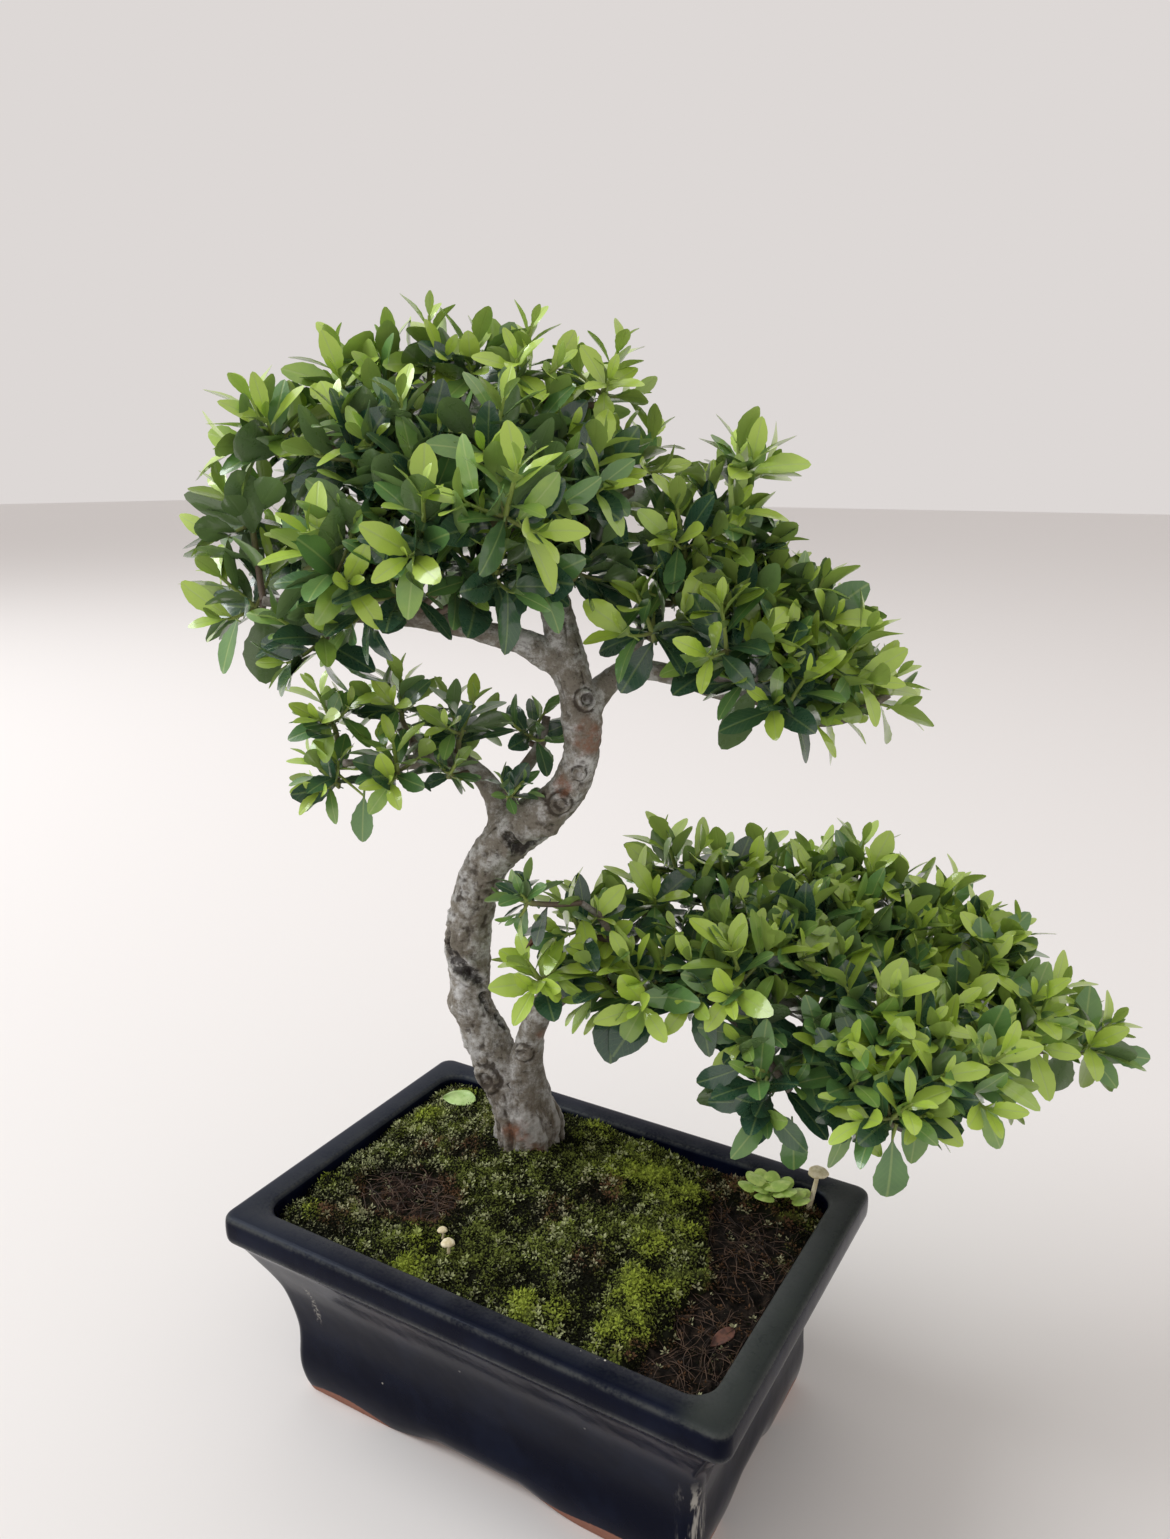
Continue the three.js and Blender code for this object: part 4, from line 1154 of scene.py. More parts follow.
# Each row is x, y, z and the radius, from the foot upwards, in the tree's frame.
TRUNK = [
    [-1.5, 0, -26, 12], [-1.5, 0, -8, 14.4], [-1, 0, 2, 13.4], [-1, 0, 14, 12], [-6.5, 1, 26, 11],
    [-12, 1.5, 36, 9.8], [-17, 2, 49, 8.8], [-21, 2.5, 60, 8], [-23.5, 3, 70, 7.9],
    [-23.5, 5, 92, 8], [-21, 6, 110, 8.5], [-15, 4, 125, 8.6], [-5, 1, 138, 8.5], [6, -2, 146, 8.1],
    [17, -4, 157, 7.3], [22, -5, 172, 6.4], [21, -4, 188, 6.3], [17, -1, 206, 6.7],
    [13, 2, 222, 6.3], [10, 4, 236, 5.9], [11, 6, 252, 5], [15, 7, 268, 4], [18, 6, 284, 3.2],
    [20, 4, 298, 2.4],
]

# The boughs, with rows like the trunk's. Each starts inside the wood that carries it.
BOUGHS = {
    "low": [[0, 0, 10, 9], [-0.5, -1, 22, 7.8], [-1, -2, 34, 6.3], [0.5, -4, 46, 5.5],
            [3, -6, 58, 5.3], [11, -9, 72, 5.2], [30, -10, 82, 4.9], [49, -10, 82, 4.6],
            [69, -12, 79, 4.2], [88, -15, 76, 3.8], [107, -20, 73, 3.4], [145, -25, 67, 2.8],
            [183, -28, 61, 2.2], [206, -28, 60, 1.6]],
    "low_front": [[67, -12, 79, 2.8], [80, -30, 74, 2.3], [90, -46, 66, 1.9], [98, -56, 58, 1.4]],
    "low_down": [[107, -20, 73, 2.8], [118, -32, 62, 2.3], [130, -42, 48, 1.9],
                 [142, -56, 42, 1.4]],
    "low_fore": [[140, -24, 68, 2.6], [156, -42, 62, 2.2], [172, -58, 58, 1.6]],
    "low_back": [[80, -13, 77, 2.8], [96, 8, 88, 2.3], [112, 30, 100, 1.8], [126, 42, 106, 1.3]],
    "low_rear": [[128, -22, 70, 2.6], [143, 2, 75, 2.2], [158, 18, 80, 1.8], [168, 26, 82, 1.3]],
    "low_inner": [[34, -10, 82, 2.6], [44, 6, 92, 2.1], [51, 16, 101, 1.7], [54, 20, 107, 1.3]],
    "low_sprout": [[32, -10, 82, 2.4], [33, -17, 97, 1.9], [30, -21, 110, 1.6],
                   [22, -24, 118, 1.3]],
    "left": [[-6, 1, 137, 6], [-10, 5, 145, 4.8], [-15, 9, 155, 4.2], [-22, 13, 161, 3.8],
             [-33, 17, 164, 3.4], [-49, 20, 161, 3], [-64, 22, 160, 2.5], [-84, 22, 159, 1.6]],
    "left_up": [[-8, 4, 141, 3.4], [-5, 8, 155, 2.8], [5, 11, 170, 2.2], [8, 13, 182, 1.6]],
    "left_rear": [[-42, 19, 163, 2.4], [-50, 34, 168, 2], [-60, 46, 172, 1.4]],
    "left_fore": [[-52, 20, 161, 2.2], [-60, 8, 164, 1.8], [-70, 0, 166, 1.3]],
    "crown_left": [[15, 0, 205, 6], [7, -1, 209, 5.4], [-1, -4, 214, 4.8], [-11, -8, 217, 4.3],
                   [-20, -12, 220, 4], [-37, -18, 224, 3.3], [-62, -20, 226, 2.6],
                   [-92, -18, 230, 1.7]],
    "crown_fore": [[-24, -14, 221, 2.8], [-36, -34, 228, 2.3], [-50, -46, 236, 1.5]],
    "crown_rear": [[-30, -16, 222, 2.6], [-46, 8, 234, 2.2], [-66, 26, 246, 1.5]],
    "crown_high": [[13, 6, 256, 3.4], [-4, 2, 270, 3], [-30, 2, 282, 2.5], [-58, 4, 290, 1.6]],
    "crown_front": [[11, 4, 238, 3.2], [6, -16, 250, 2.7], [-4, -36, 258, 2.2],
                    [-16, -48, 262, 1.5]],
    "crown_back": [[11, 6, 248, 3.2], [6, 26, 260, 2.7], [-8, 44, 270, 2.1], [-22, 52, 276, 1.5]],
    "crown_right": [[11, 6, 244, 3.2], [20, 2, 254, 2.8], [31, 0, 263, 2.2], [40, 4, 268, 1.5]],
    "crown_out": [[14, 7, 262, 2.6], [4, -14, 276, 2.1], [-8, -22, 286, 1.4]],
    "right": [[22, -3, 184, 6], [27, 0, 192, 4.9], [35, 2, 200, 4.3], [44, 2, 202, 4],
              [54, 1, 201, 3.7], [71, 0, 196, 3.4], [90, -2, 192, 3], [105, -4, 185, 2.6],
              [121, -4, 185, 2], [138, -2, 194, 1.4]],
    "right_up": [[40, 2, 202, 3], [42, 0, 212, 2.6], [46, -4, 222, 2.2], [56, -2, 238, 1.9],
                 [70, 4, 252, 1.3]],
    "right_fore": [[64, 0, 198, 2.6], [74, -16, 203, 2.2], [84, -26, 204, 1.5]],
    "right_rear": [[76, -1, 195, 2.6], [88, 20, 202, 2.2], [100, 34, 208, 1.5]],
    "right_high": [[72, 0, 196, 2.4], [82, 2, 212, 2], [90, 4, 226, 1.4]],
}

# The scars: their kind, their middle, their radius and, for a long one, their other end.
KNOT, FLAKE, BURL, RUST, CREASE = Scar
WOUNDS = [Wound(*facts) for facts in (
    (KNOT, (-17.5, -7, 34), 5.0), (KNOT, (-1, -9.5, 48), 2.8), (KNOT, (23.5, -9, 193), 3.2),
    (KNOT, (-8, 10, 60), 5.0), (KNOT, (-16, 14, 104), 4.0), (KNOT, (9, -13, 26), 3.6),
    (FLAKE, (-31, -1, 89), 3.2, (-24, -5, 80)), (FLAKE, (-24, -5, 81), 3.4, (-14, -4, 75)),
    (FLAKE, (-32, 0, 97), 2.2, (-31, -1, 90)), (FLAKE, (-33, 3, 108), 1.4, (-31, 3, 100)),
    # Painted shadow in the hollow under the trunk's bend, drawn as flakes.
    (FLAKE, (-3, -8, 132), 4.0, (9, -8, 137)), (FLAKE, (-6, -6, 139), 2.6, (1, -9, 129)),
    (KNOT, (14, -11, 153), 3.4), (KNOT, (21, -10.5, 165), 2.2),
    (FLAKE, (-19, -5, 116), 1.4, (-14, -5, 119)), (FLAKE, (-25, 9, 84), 3.4, (-14, 12, 78)),
    (FLAKE, (9, 5, 138), 3.0, (1, 8, 131)), (FLAKE, (-11, -12, 24), 1.8, (-9, -13, 32)),
    (BURL, (9.5, -9, 144), 5.0), (BURL, (-31, 4, 64), 4.0),
    # Painted shadow in the hollow just above the fork of the low bough, drawn as flakes.
    (FLAKE, (-17, -4, 70), 2.6, (-12, -4, 60)), (FLAKE, (-12, -1, 60), 2.4, (-10, 0, 54)),
    (CREASE, (-5.5, -8, 51), 1.5, (-4.8, -11, 36)), (CREASE, (-7, 8, 46), 1.8, (-6, 10, 34)),
    (CREASE, (-1.4, -13.5, 18), 1.6, (-1.2, -14.5, 1)), (CREASE, (-11, -7, 14), 1.6, (-13, -7, -4)),
    (CREASE, (9, -10, 14), 1.6, (11, -10, -4)), (CREASE, (11, 9, 14), 1.8, (13, 10, 1)),
    (CREASE, (-6, 14, 16), 1.8, (-8, 15, 1)), (CREASE, (-15, 2, 16), 1.8, (-17, 2, 1)),
    (FLAKE, (0, -12, 35), 2.0, (2, -12, 31)), (RUST, (26, -10, 178), 6.5),
    (RUST, (-5, -13, 14), 5.5), (RUST, (3, -14, 5), 4.0), (RUST, (15, -10, 160), 4.0),
    (RUST, (6, -8, 57), 3.0), (RUST, (-6, 14, 5), 7.0), (RUST, (12, -7, -4), 5.0),
)]


@dataclass
class Wood:
    """The trunk and its boughs as one rough skin."""

    trunk_step: float = 0.75
    trunk_sides: int = 84
    thick: float = 4.0
    thick_step: float = 0.91
    thick_sides: int = 36
    thin_step: float = 1.3
    thin_sides: int = 14
    ridges: int = 5
    ridge_depth: float = 0.13
    near: float = 12.0
    collar: float = 0.22

    def build(self) -> None:
        """Makes the wood's mesh and dresses it."""
        lists = {"trunk": TRUNK, **BOUGHS}
        coarse = {name: Run.through(listed, 2.5) for name, listed in lists.items()}
        shape = Shape()
        for order, (name, listed) in enumerate(lists.items()):
            others = [run for key, run in coarse.items() if key != name]
            if name == "trunk":
                step, sides = self.trunk_step, self.trunk_sides
            elif listed[0][3] > self.thick:
                step, sides = self.thick_step, self.thick_sides
            else:
                step, sides = self.thin_step, self.thin_sides
            self._skin(shape, Run.through(listed, step), sides, others, order)
        dress(shape.object("trunk_and_boughs", BARK), "bark", "trunk_and_branches")

    def _skin(self, shape: Shape, run: Run, sides: int, others: list[Run], seed: int) -> None:
        """Adds one bough's skin to the shape.

        Args:
            shape: The shape that it is added to.
            run: The bough's samples.
            sides: Points in each ring.
            others: The other boughs.
            seed: The bough's number, which picks its noise. The trunk's is 0.
        """
        _, across, over = run.frames()
        angles = np.arange(sides) * math.tau / sides
        cosine, sine = np.cos(angles)[None, :, None], np.sin(angles)[None, :, None]
        spokes = across[:, None] * cosine + over[:, None] * sine
        rows = len(run.points)
        radius = np.repeat(run.radii, sides)
        gone = np.repeat(np.arange(rows) * np.linalg.norm(run.points[1] - run.points[0]), sides)
        spokes = spokes.reshape(-1, 3)
        centres = np.repeat(run.points, sides, axis=0)
        turned = np.tile(angles, rows)
        if seed == 0:
            height = centres[:, 2]
            share = ramp_up(height, -18, -10) * (1 - ramp_up(height, 2, 26))
            radius = radius * (1 + self.ridge_depth * share * np.cos(self.ridges * turned + 0.6))
        skin = centres + spokes * radius[:, None]
        relief, shown, scarred, rusty = self._relief(skin, turned, gone, radius, seed)
        skin = skin + spokes * (relief + self._collar(skin, others))[:, None]
        shape.add(from_tree(skin), capped(rows, sides), relief=shown, scarred=scarred,
                  rusty=rusty, thin=ramp_up(-radius, -5.0, -1.6))

    def _collar(self, skin: np.ndarray, others: list[Run]) -> np.ndarray:
        """How far the skin swells where it comes near another bough.

        Args:
            skin: Points of the skin.
            others: The other boughs.

        Returns:
            The swelling at each point.
        """
        swell = np.zeros(len(skin))
        for run in others:
            low, high = run.points.min(0) - self.near, run.points.max(0) + self.near
            near = np.flatnonzero(np.all((skin > low) & (skin < high), axis=1))
            if not len(near):
                continue
            away = np.linalg.norm(skin[near, None] - run.points[None], axis=2) - run.radii[None]
            closest = away.argmin(axis=1)
            gap = np.maximum(away.min(axis=1), 0)
            reach = self.collar * run.radii[closest]
            swell[near] = np.maximum(swell[near], reach * np.exp(-gap / (1.5 * reach)))
        return swell

    @staticmethod
    def _relief(skin: np.ndarray, turned: np.ndarray, gone: np.ndarray, radius: np.ndarray,
                seed: int) -> tuple[np.ndarray, np.ndarray, np.ndarray, np.ndarray]:
        """Bark relief in millimetres, the part that shows in colour, the scars with painted shade,
        and the rust.

        Args:
            skin: Points of the skin.
            turned: How far each point is round the bough, as an angle.
            gone: How far each point is along the bough.
            radius: The bough's radius at each point.
            seed: Whole number that picks the noise.

        Returns:
            The relief, the part that shows, how much scar and painted shade and how much rust each
            point has.
        """
        strength = np.clip(radius / 8, 0.18, 1.1)
        round_x, round_y = np.cos(turned) * radius, np.sin(turned) * radius
        lumps = noise(skin, 15, seed + 1) * 1.15 + noise(skin, 6, seed + 2) * 0.42
        wrapped = np.stack([round_x, round_y, gone / 3.4], axis=1)
        cracks = -0.6 * (1 - ramp_up(np.abs(noise(wrapped, 2.8, seed + 3)), 0.0, 0.15))
        cracks = cracks * ramp_up(noise(skin, 8, seed + 4), -0.1, 0.5)
        bands = noise(skin * np.array([1, 1, 2.2]), 4.2, seed + 5) * 0.3
        fine = noise(skin, 2.2, seed + 6) * 0.34 + noise(skin, 1.1, seed + 7) * 0.22
        upright = np.stack([round_x, round_y, gone / 7.0], axis=1)
        furrows = noise(upright, 2.8, seed + 8) * 1.3 * (1 - ramp_up(skin[:, 2], 8, 36))
        relief = (lumps + cracks + bands + fine + furrows) * strength
        shown = (cracks * 1.1 + bands + fine * 1.6 + furrows) * strength
        scarred, rusty = np.zeros(len(skin)), np.zeros(len(skin))
        for wound in WOUNDS:
            share = wound.share(skin)
            if wound.kind is Scar.KNOT:
                relief += 1.7 * bell(share, 0.3, 0.85) - 0.9 * bell(share, 0.5)
                rings = bell(share, 0.16, 1.35) + 0.8 * bell(share, 0.12, 0.6)
                relief -= 0.5 * rings
                # The groove and the sunken middle take the crack colour as painted shade.
                shown -= rings + 0.7 * bell(share, 0.25)
            elif wound.kind is Scar.FLAKE:
                relief += 1.0 * bell(share, 0.3, 1.25) - 1.5 * ramp_up(-share, -1.0, -0.5)
                # Dark where bark is lost and, for the flakes in hollows, painted shadow.
                scarred = np.maximum(scarred, ramp_up(-share, -1.15, -0.75))
            elif wound.kind is Scar.CREASE:
                relief += 0.4 * bell(share, 0.5, 1.5) - 1.7 * bell(share, 0.8)
                # The fold's dark line is painted shade.
                scarred = np.maximum(scarred, 0.75 * bell(share, 0.7))
            elif wound.kind is Scar.BURL:
                relief += 2.6 * bell(share, 0.95) - 2.4 * bell(share, 0.3)
                # The hole's dark middle is painted shade.
                scarred = np.maximum(scarred, bell(share, 0.32))
            else:
                rusty = np.maximum(rusty, ramp_up(-share, -1.3, -0.5))
        return relief, np.clip(shown, -1, 1), scarred, rusty


@dataclass
class Shoot:
    """One leafy shoot of a spray, as a bent line in the tree's frame."""

    order: int
    start: np.ndarray
    bow: np.ndarray
    end: np.ndarray
    leaves: int

    def at(self, share: float) -> np.ndarray:
        """Returns the point at a share of the way."""
        left = 1 - share
        return left ** 2 * self.start + 2 * share * left * self.bow + share ** 2 * self.end

    def length(self) -> float:
        """Returns the straight distance from end to end."""
        return float(np.linalg.norm(self.end - self.start))

    def way(self, share: float) -> np.ndarray:
        """Returns the direction at a share of the way."""
        return unit((1 - share) * (self.bow - self.start) + share * (self.end - self.bow))


@dataclass
class Spray:
    """A branchlet with its leader, its side shoots and their leaves.

    Args:
        number: The spray's number, which seeds its draws.
        heart: The middle of its mass.
        listed: Its centre, its reach and, if it has one, the direction that it leans in.
        shade: How much darker than a young shoot its leaves are, from age and from painted shade.
        scale: How large its leaves are.
    """

    number: int
    heart: Sequence[float]
    listed: Sequence[float]
    shade: float
    scale: float
    side_shoots: int = 3
    leader_leaves: int = 13
    side_leaves: int = 11
    usual_reach: float = 14.0
    least_scale: float = 0.72
    lengths: tuple = ((0, 1, 2, 4, 8), (9.5, 14.5, 18, 21.5, 23.5))
    inner_step: float = 5.0
    inner_share: float = 0.62
    root: Optional[Shoot] = None

    def __post_init__(self) -> None:
        """Lays out the shoots."""
        number, listed = self.number, self.listed
        centre, reach = np.array(listed[:3], float), listed[3]
        self.scale = self.scale * min(1.0, max(self.least_scale, reach / self.usual_reach))
        lean = np.array(listed[4:], float)
        outward = unit(lean if len(lean) else unit(centre - np.array(self.heart)) * 0.8 + UP * 0.75)
        self.neck = centre - 0.55 * reach * outward - np.array([0, 0, 0.15 * reach])
        across = perpendicular(outward)
        over = np.cross(outward, across)
        tip = centre + 0.46 * reach * outward
        bow = 0.4 * self.neck + 0.6 * centre
        self.shoots = [Shoot(0, self.neck, bow, tip, self.leader_leaves)]
        for k in range(self.side_shoots):
            angle = math.tau * (k + 0.6 * draw(number, k, 3)) / self.side_shoots + number
            spoke = across * math.cos(angle) + over * math.sin(angle)
            back = 0.05 + 0.3 * draw(number, k, 5)
            end = centre + 0.72 * reach * spoke - outward * reach * back
            start = 0.75 * self.neck + 0.25 * centre
            bow = (start + end) / 2 + 0.22 * reach * spoke
            self.shoots.append(Shoot(k + 1, start, bow, end, self.side_leaves))

    def spring_from(self, point: np.ndarray) -> None:
        """Grows the branchlet from a point on the wood to the spray's neck.

        Args:
            point: The place on the wood.
        """
        sag = np.array([0, 0, -0.06 * np.linalg.norm(point - self.neck)])
        length = float(np.linalg.norm(self.neck - point))
        count = int(length * self.inner_share / self.inner_step)
        self.root = Shoot(9, point, (point + self.neck) / 2 + sag, self.neck, count)

    def leaves(self) -> list[dict]:
        """Returns what the leaf tree needs to know of each leaf.

        Returns:
            The facts of each leaf.
        """
        found = [self._leaf(shoot, k) for shoot in self.shoots for k in range(shoot.leaves)
                 if self._back(k) < shoot.length() * 1.1]
        return found + [self._inner_leaf(k) for k in range(self.root.leaves)]

    @staticmethod
    def _back(k: int) -> float:
        """How far back from the tip a leaf stands."""
        return 0.4 + 1.9 * k * (0.8 + 0.06 * k)

    def _leaf(self, shoot: Shoot, k: int) -> dict:
        """Lays out one leaf, counted back from the shoot's tip.

        Args:
            shoot: The shoot that carries it.
            k: The leaf's number, from 0 at the tip.

        Returns:
            The leaf's facts.
        """
        share = max(0.0, 1 - self._back(k) / shoot.length())
        seed = self.number * 7 + shoot.order
        age = k / (shoot.leaves - 1)
        tilt = math.radians(17 + 66 * age ** 0.72 + 16 * (draw(seed, k, 2) - 0.5))
        size = np.interp(k, *self.lengths) * (0.84 + 0.3 * draw(seed, k, 4)) * self.scale
        width = size * (0.355 + 0.1 * age + 0.08 * draw(seed, k, 6))
        aged = (0.95 + min(self.shade, 0.0)) * float(ramp_up(age, 0.14, 0.66))
        tone = aged + 0.3 * (draw(seed, k, 8) - 0.5) + self.shade
        return self._set(shoot, share, (seed, k), tilt, size, width, tone)

    def _inner_leaf(self, k: int) -> dict:
        """Lays out one old leaf on the branchlet below the spray, counted back from its neck.

        Args:
            k: The leaf's number, from 0 at the neck.

        Returns:
            The leaf's facts.
        """
        seed = self.number * 7 + 6
        share = 1 - (k + 0.3) * self.inner_step / max(self.root.length(), 1.0)
        size = (21 + 7 * draw(seed, k, 4)) * self.scale
        tilt = math.radians(52 + 26 * draw(seed, k, 2))
        width = size * (0.5 + 0.1 * draw(seed, k, 6))
        tone = 0.82 + 0.3 * draw(seed, k, 8)
        return self._set(self.root, share, (seed, k), tilt, size, width, tone)

    @staticmethod
    def _set(shoot: Shoot, share: float, seed: tuple[int, int], tilt: float, size: float,
             width: float, tone: float) -> dict:
        """Sets one leaf at a share of a shoot's way, tilted away from it.

        Args:
            shoot: The shoot that carries it.
            share: How far along the shoot it stands.
            seed: The shoot's number and the leaf's.
            tilt: Its angle to the shoot.
            size: Its length.
            width: Its width.
            tone: How old it looks, with painted shade, from 0 to 1.

        Returns:
            The leaf's facts.
        """
        axis = shoot.way(share)
        across = perpendicular(axis)
        turn = seed[1] * GOLDEN_ANGLE + 6.28 * draw(seed[0], 0, 1)
        spoke = across * math.cos(turn) + np.cross(axis, across) * math.sin(turn)
        along = axis * math.cos(tilt) + spoke * math.sin(tilt)
        face = axis * math.sin(tilt) - spoke * math.cos(tilt) + UP * 0.7
        return leaf_facts(shoot.at(share), along, face, size, width, tone, seed)


def leaf_facts(foot: np.ndarray, along: np.ndarray, face: np.ndarray, length: float,
               width: float, tone: float, seed: tuple[int, int]) -> dict:
    """Returns a leaf's place, size and bend as the leaf tree reads them, in the shared frame.

    Args:
        foot: Where the leaf starts.
        along: The way that it points in.
        face: The way that its upper side looks.
        length: Its length.
        width: Its width.
        tone: How old it looks, with painted shade, from 0 to 1.
        seed: Two numbers that pick its bend.

    Returns:
        The leaf's facts, by the names that the leaf tree reads.
    """
    along = unit(along)
    face = unit(face - along * np.dot(face, along))
    a, b = seed
    sag = 0.08 + 0.16 * draw(a, b, 11)
    bend = (0.06 + 0.12 * draw(a, b, 12), 0.7 * (draw(a, b, 13) - 0.5),
            0.5 * (draw(a, b, 14) - 0.3))
    return {"foot": from_tree(foot[None])[0], "along": turn_tree(along), "face": turn_tree(face),
            "left": turn_tree(np.cross(face, along)), "size": (length * MM, width * MM, sag),
            "bend": bend, "tone": float(np.clip(tone, 0, 1))}


# The four masses of leaves, in the tree's frame. "heart" is a mass's middle. "shoots" and "fill"
# list its sprays: x, y and z of the centre, the reach and, for some, the way that they lean in.
# "gap" is the least distance between the sprays that are added among them, and "open" the x below
# which that distance is wider. "fresh" is the range of x in which the added sprays turn young.
# "leaf" is the leaf size and "small" the share of it that some sprays have. "dark" and "tints" are
# the tones, for the mass and for single sprays.
MASSES = {
    "crown": {
        "heart": [-35, 0, 245],
        "gap": 17,
        "open": -58,
        "fresh": (200, 201),
        "leaf": 1.0,
        "dark": 0.0,
        "tints": {12: -0.32, 5: -0.28, 4: -0.26, 13: -0.2, 3: -0.16, 10: -0.16, 1: -0.18, 6: -0.18,
                  8: -0.16, 2: -0.08},
        "small": {3: 0.88, 4: 0.8, 5: 0.76, 13: 0.84},
        "shoots": [[-92, -5, 293, 19], [-65, 8, 310, 19], [-33, 5, 320, 19], [2, -5, 316, 20],
                   [32, 5, 312, 20], [-105, 0, 263, 17], [24, -22, 277, 19], [-105, -5, 233, 19],
                   [-78, -25, 221, 18], [-63, -48, 250, 20], [-28, -60, 262, 20], [0, -64, 270, 20],
                   [45, 12, 283, 17], [-78, 45, 295, 20], [-36, 58, 303, 21], [13, 48, 295, 20],
                   [-95, 35, 248, 19], [-58, -28, 288, 19]],
        "fill": [[-38, -30, 290, 20], [-6, -35, 290, 20], [-41, -50, 242, 19], [25, -20, 247, 17],
                 [-40, 45, 248, 19], [-5, -45, 248, 18]],
    },
    "right": {
        "heart": [85, 0, 195],
        "gap": 15,
        "fresh": (70, 125),
        "leaf": 1.0,
        "dark": -0.18,
        "tints": {4: -0.12, 6: -0.14, 5: 0.16, 3: 0.08},
        "shoots": [[80, 15, 280, 16], [44, -22, 228, 18], [72, -26, 223, 19], [121, -10, 212, 19],
                   [99, -22, 199, 18], [138, 5, 196, 14], [85, 38, 233, 19], [124, 34, 210, 17]],
        "fill": [[57, -8, 258, 19], [110, 6, 229, 18], [82, 5, 253, 16]],
    },
    "left": {
        "heart": [-50, 20, 160],
        "gap": 24,
        "fresh": (200, 201),
        "leaf": 0.82,
        "dark": -0.06,
        "tints": {},
        "shoots": [[-81, 20, 185, 16], [-51, 25, 190, 17], [-82, 15, 160, 15], [-50, 0, 169, 17],
                   [-23, 12, 183, 17], [-38, 45, 165, 16]],
        "fill": [[4, 14, 179, 13], [-28, 2, 164, 8], [-3, -6, 158, 9]],
    },
    "low": {
        "heart": [110, -12, 70],
        "gap": 15.5,
        "fresh": (100, 180),
        "leaf": 0.98,
        "dark": -0.2,
        "tints": {15: 0.56, 1: -0.1, 2: -0.06, 4: -0.1, 14: -0.12, 12: -0.04, 13: 0.5, 8: -0.08,
                  9: -0.06, 11: -0.06, 5: 0.06, 3: 0.06},
        "small": {13: 1.14},
        "shoots": [[4, -28, 93, 12, -0.5, -0.3, 0.85], [29, -5, 104, 18], [59, 24, 123, 17],
                   [44, -32, 92, 18], [79, -38, 101, 19], [98, 32, 115, 18], [140, 34, 115, 19],
                   [179, 32, 98, 19], [194, 5, 89, 19], [131, -45, 87, 20], [226, -15, 60, 16],
                   [165, -62, 72, 21], [88, -52, 60, 17], [132, -78, 64, 17],
                   [-2, -29, 122, 10, -1, 0, 0.15]],
        "fill": [[71, 5, 108, 19], [113, -5, 104, 20], [118, -62, 64, 18], [151, 5, 96, 20],
                 [204, -15, 75, 19], [173, -12, 79, 16], [187, -2, 86, 16], [196, -26, 70, 15],
                 [158, -34, 77, 16]],
    },
}

# Leaves that stand apart on thin twigs: x, y and z of the leaf's foot, the way that it points in,
# x, y and z of the twig's start, the leaf's length and its tone.
TRAILERS = {
    "left": [[-64, 6, 151, -0.1, 0, -1, -81, 20, 160, 20, 0.45]],
    "low": [[228, -20, 55, 1, 0, -0.18, 218, -18, 53, 20, 0.45],
            [99, -58, 46, 0.1, 0, -1, 88, -52, 52, 21, 0.5],
            [131, -74, 50, 0.03, 0, -1, 132, -74, 56, 26, 0.5],
            [81, -58, 69, -1, 0, -0.45, 90, -53, 64, 19, 0.85],
            [86, -59, 56, -1, 0, -0.1, 90, -53, 62, 18, 0.85]],
}


class Outline(Enum):
    """Outlines of a blade."""

    HOLLY = "oval, widest past the middle, with a finely toothed edge"
    ROUND = "nearly round, with a scalloped edge"


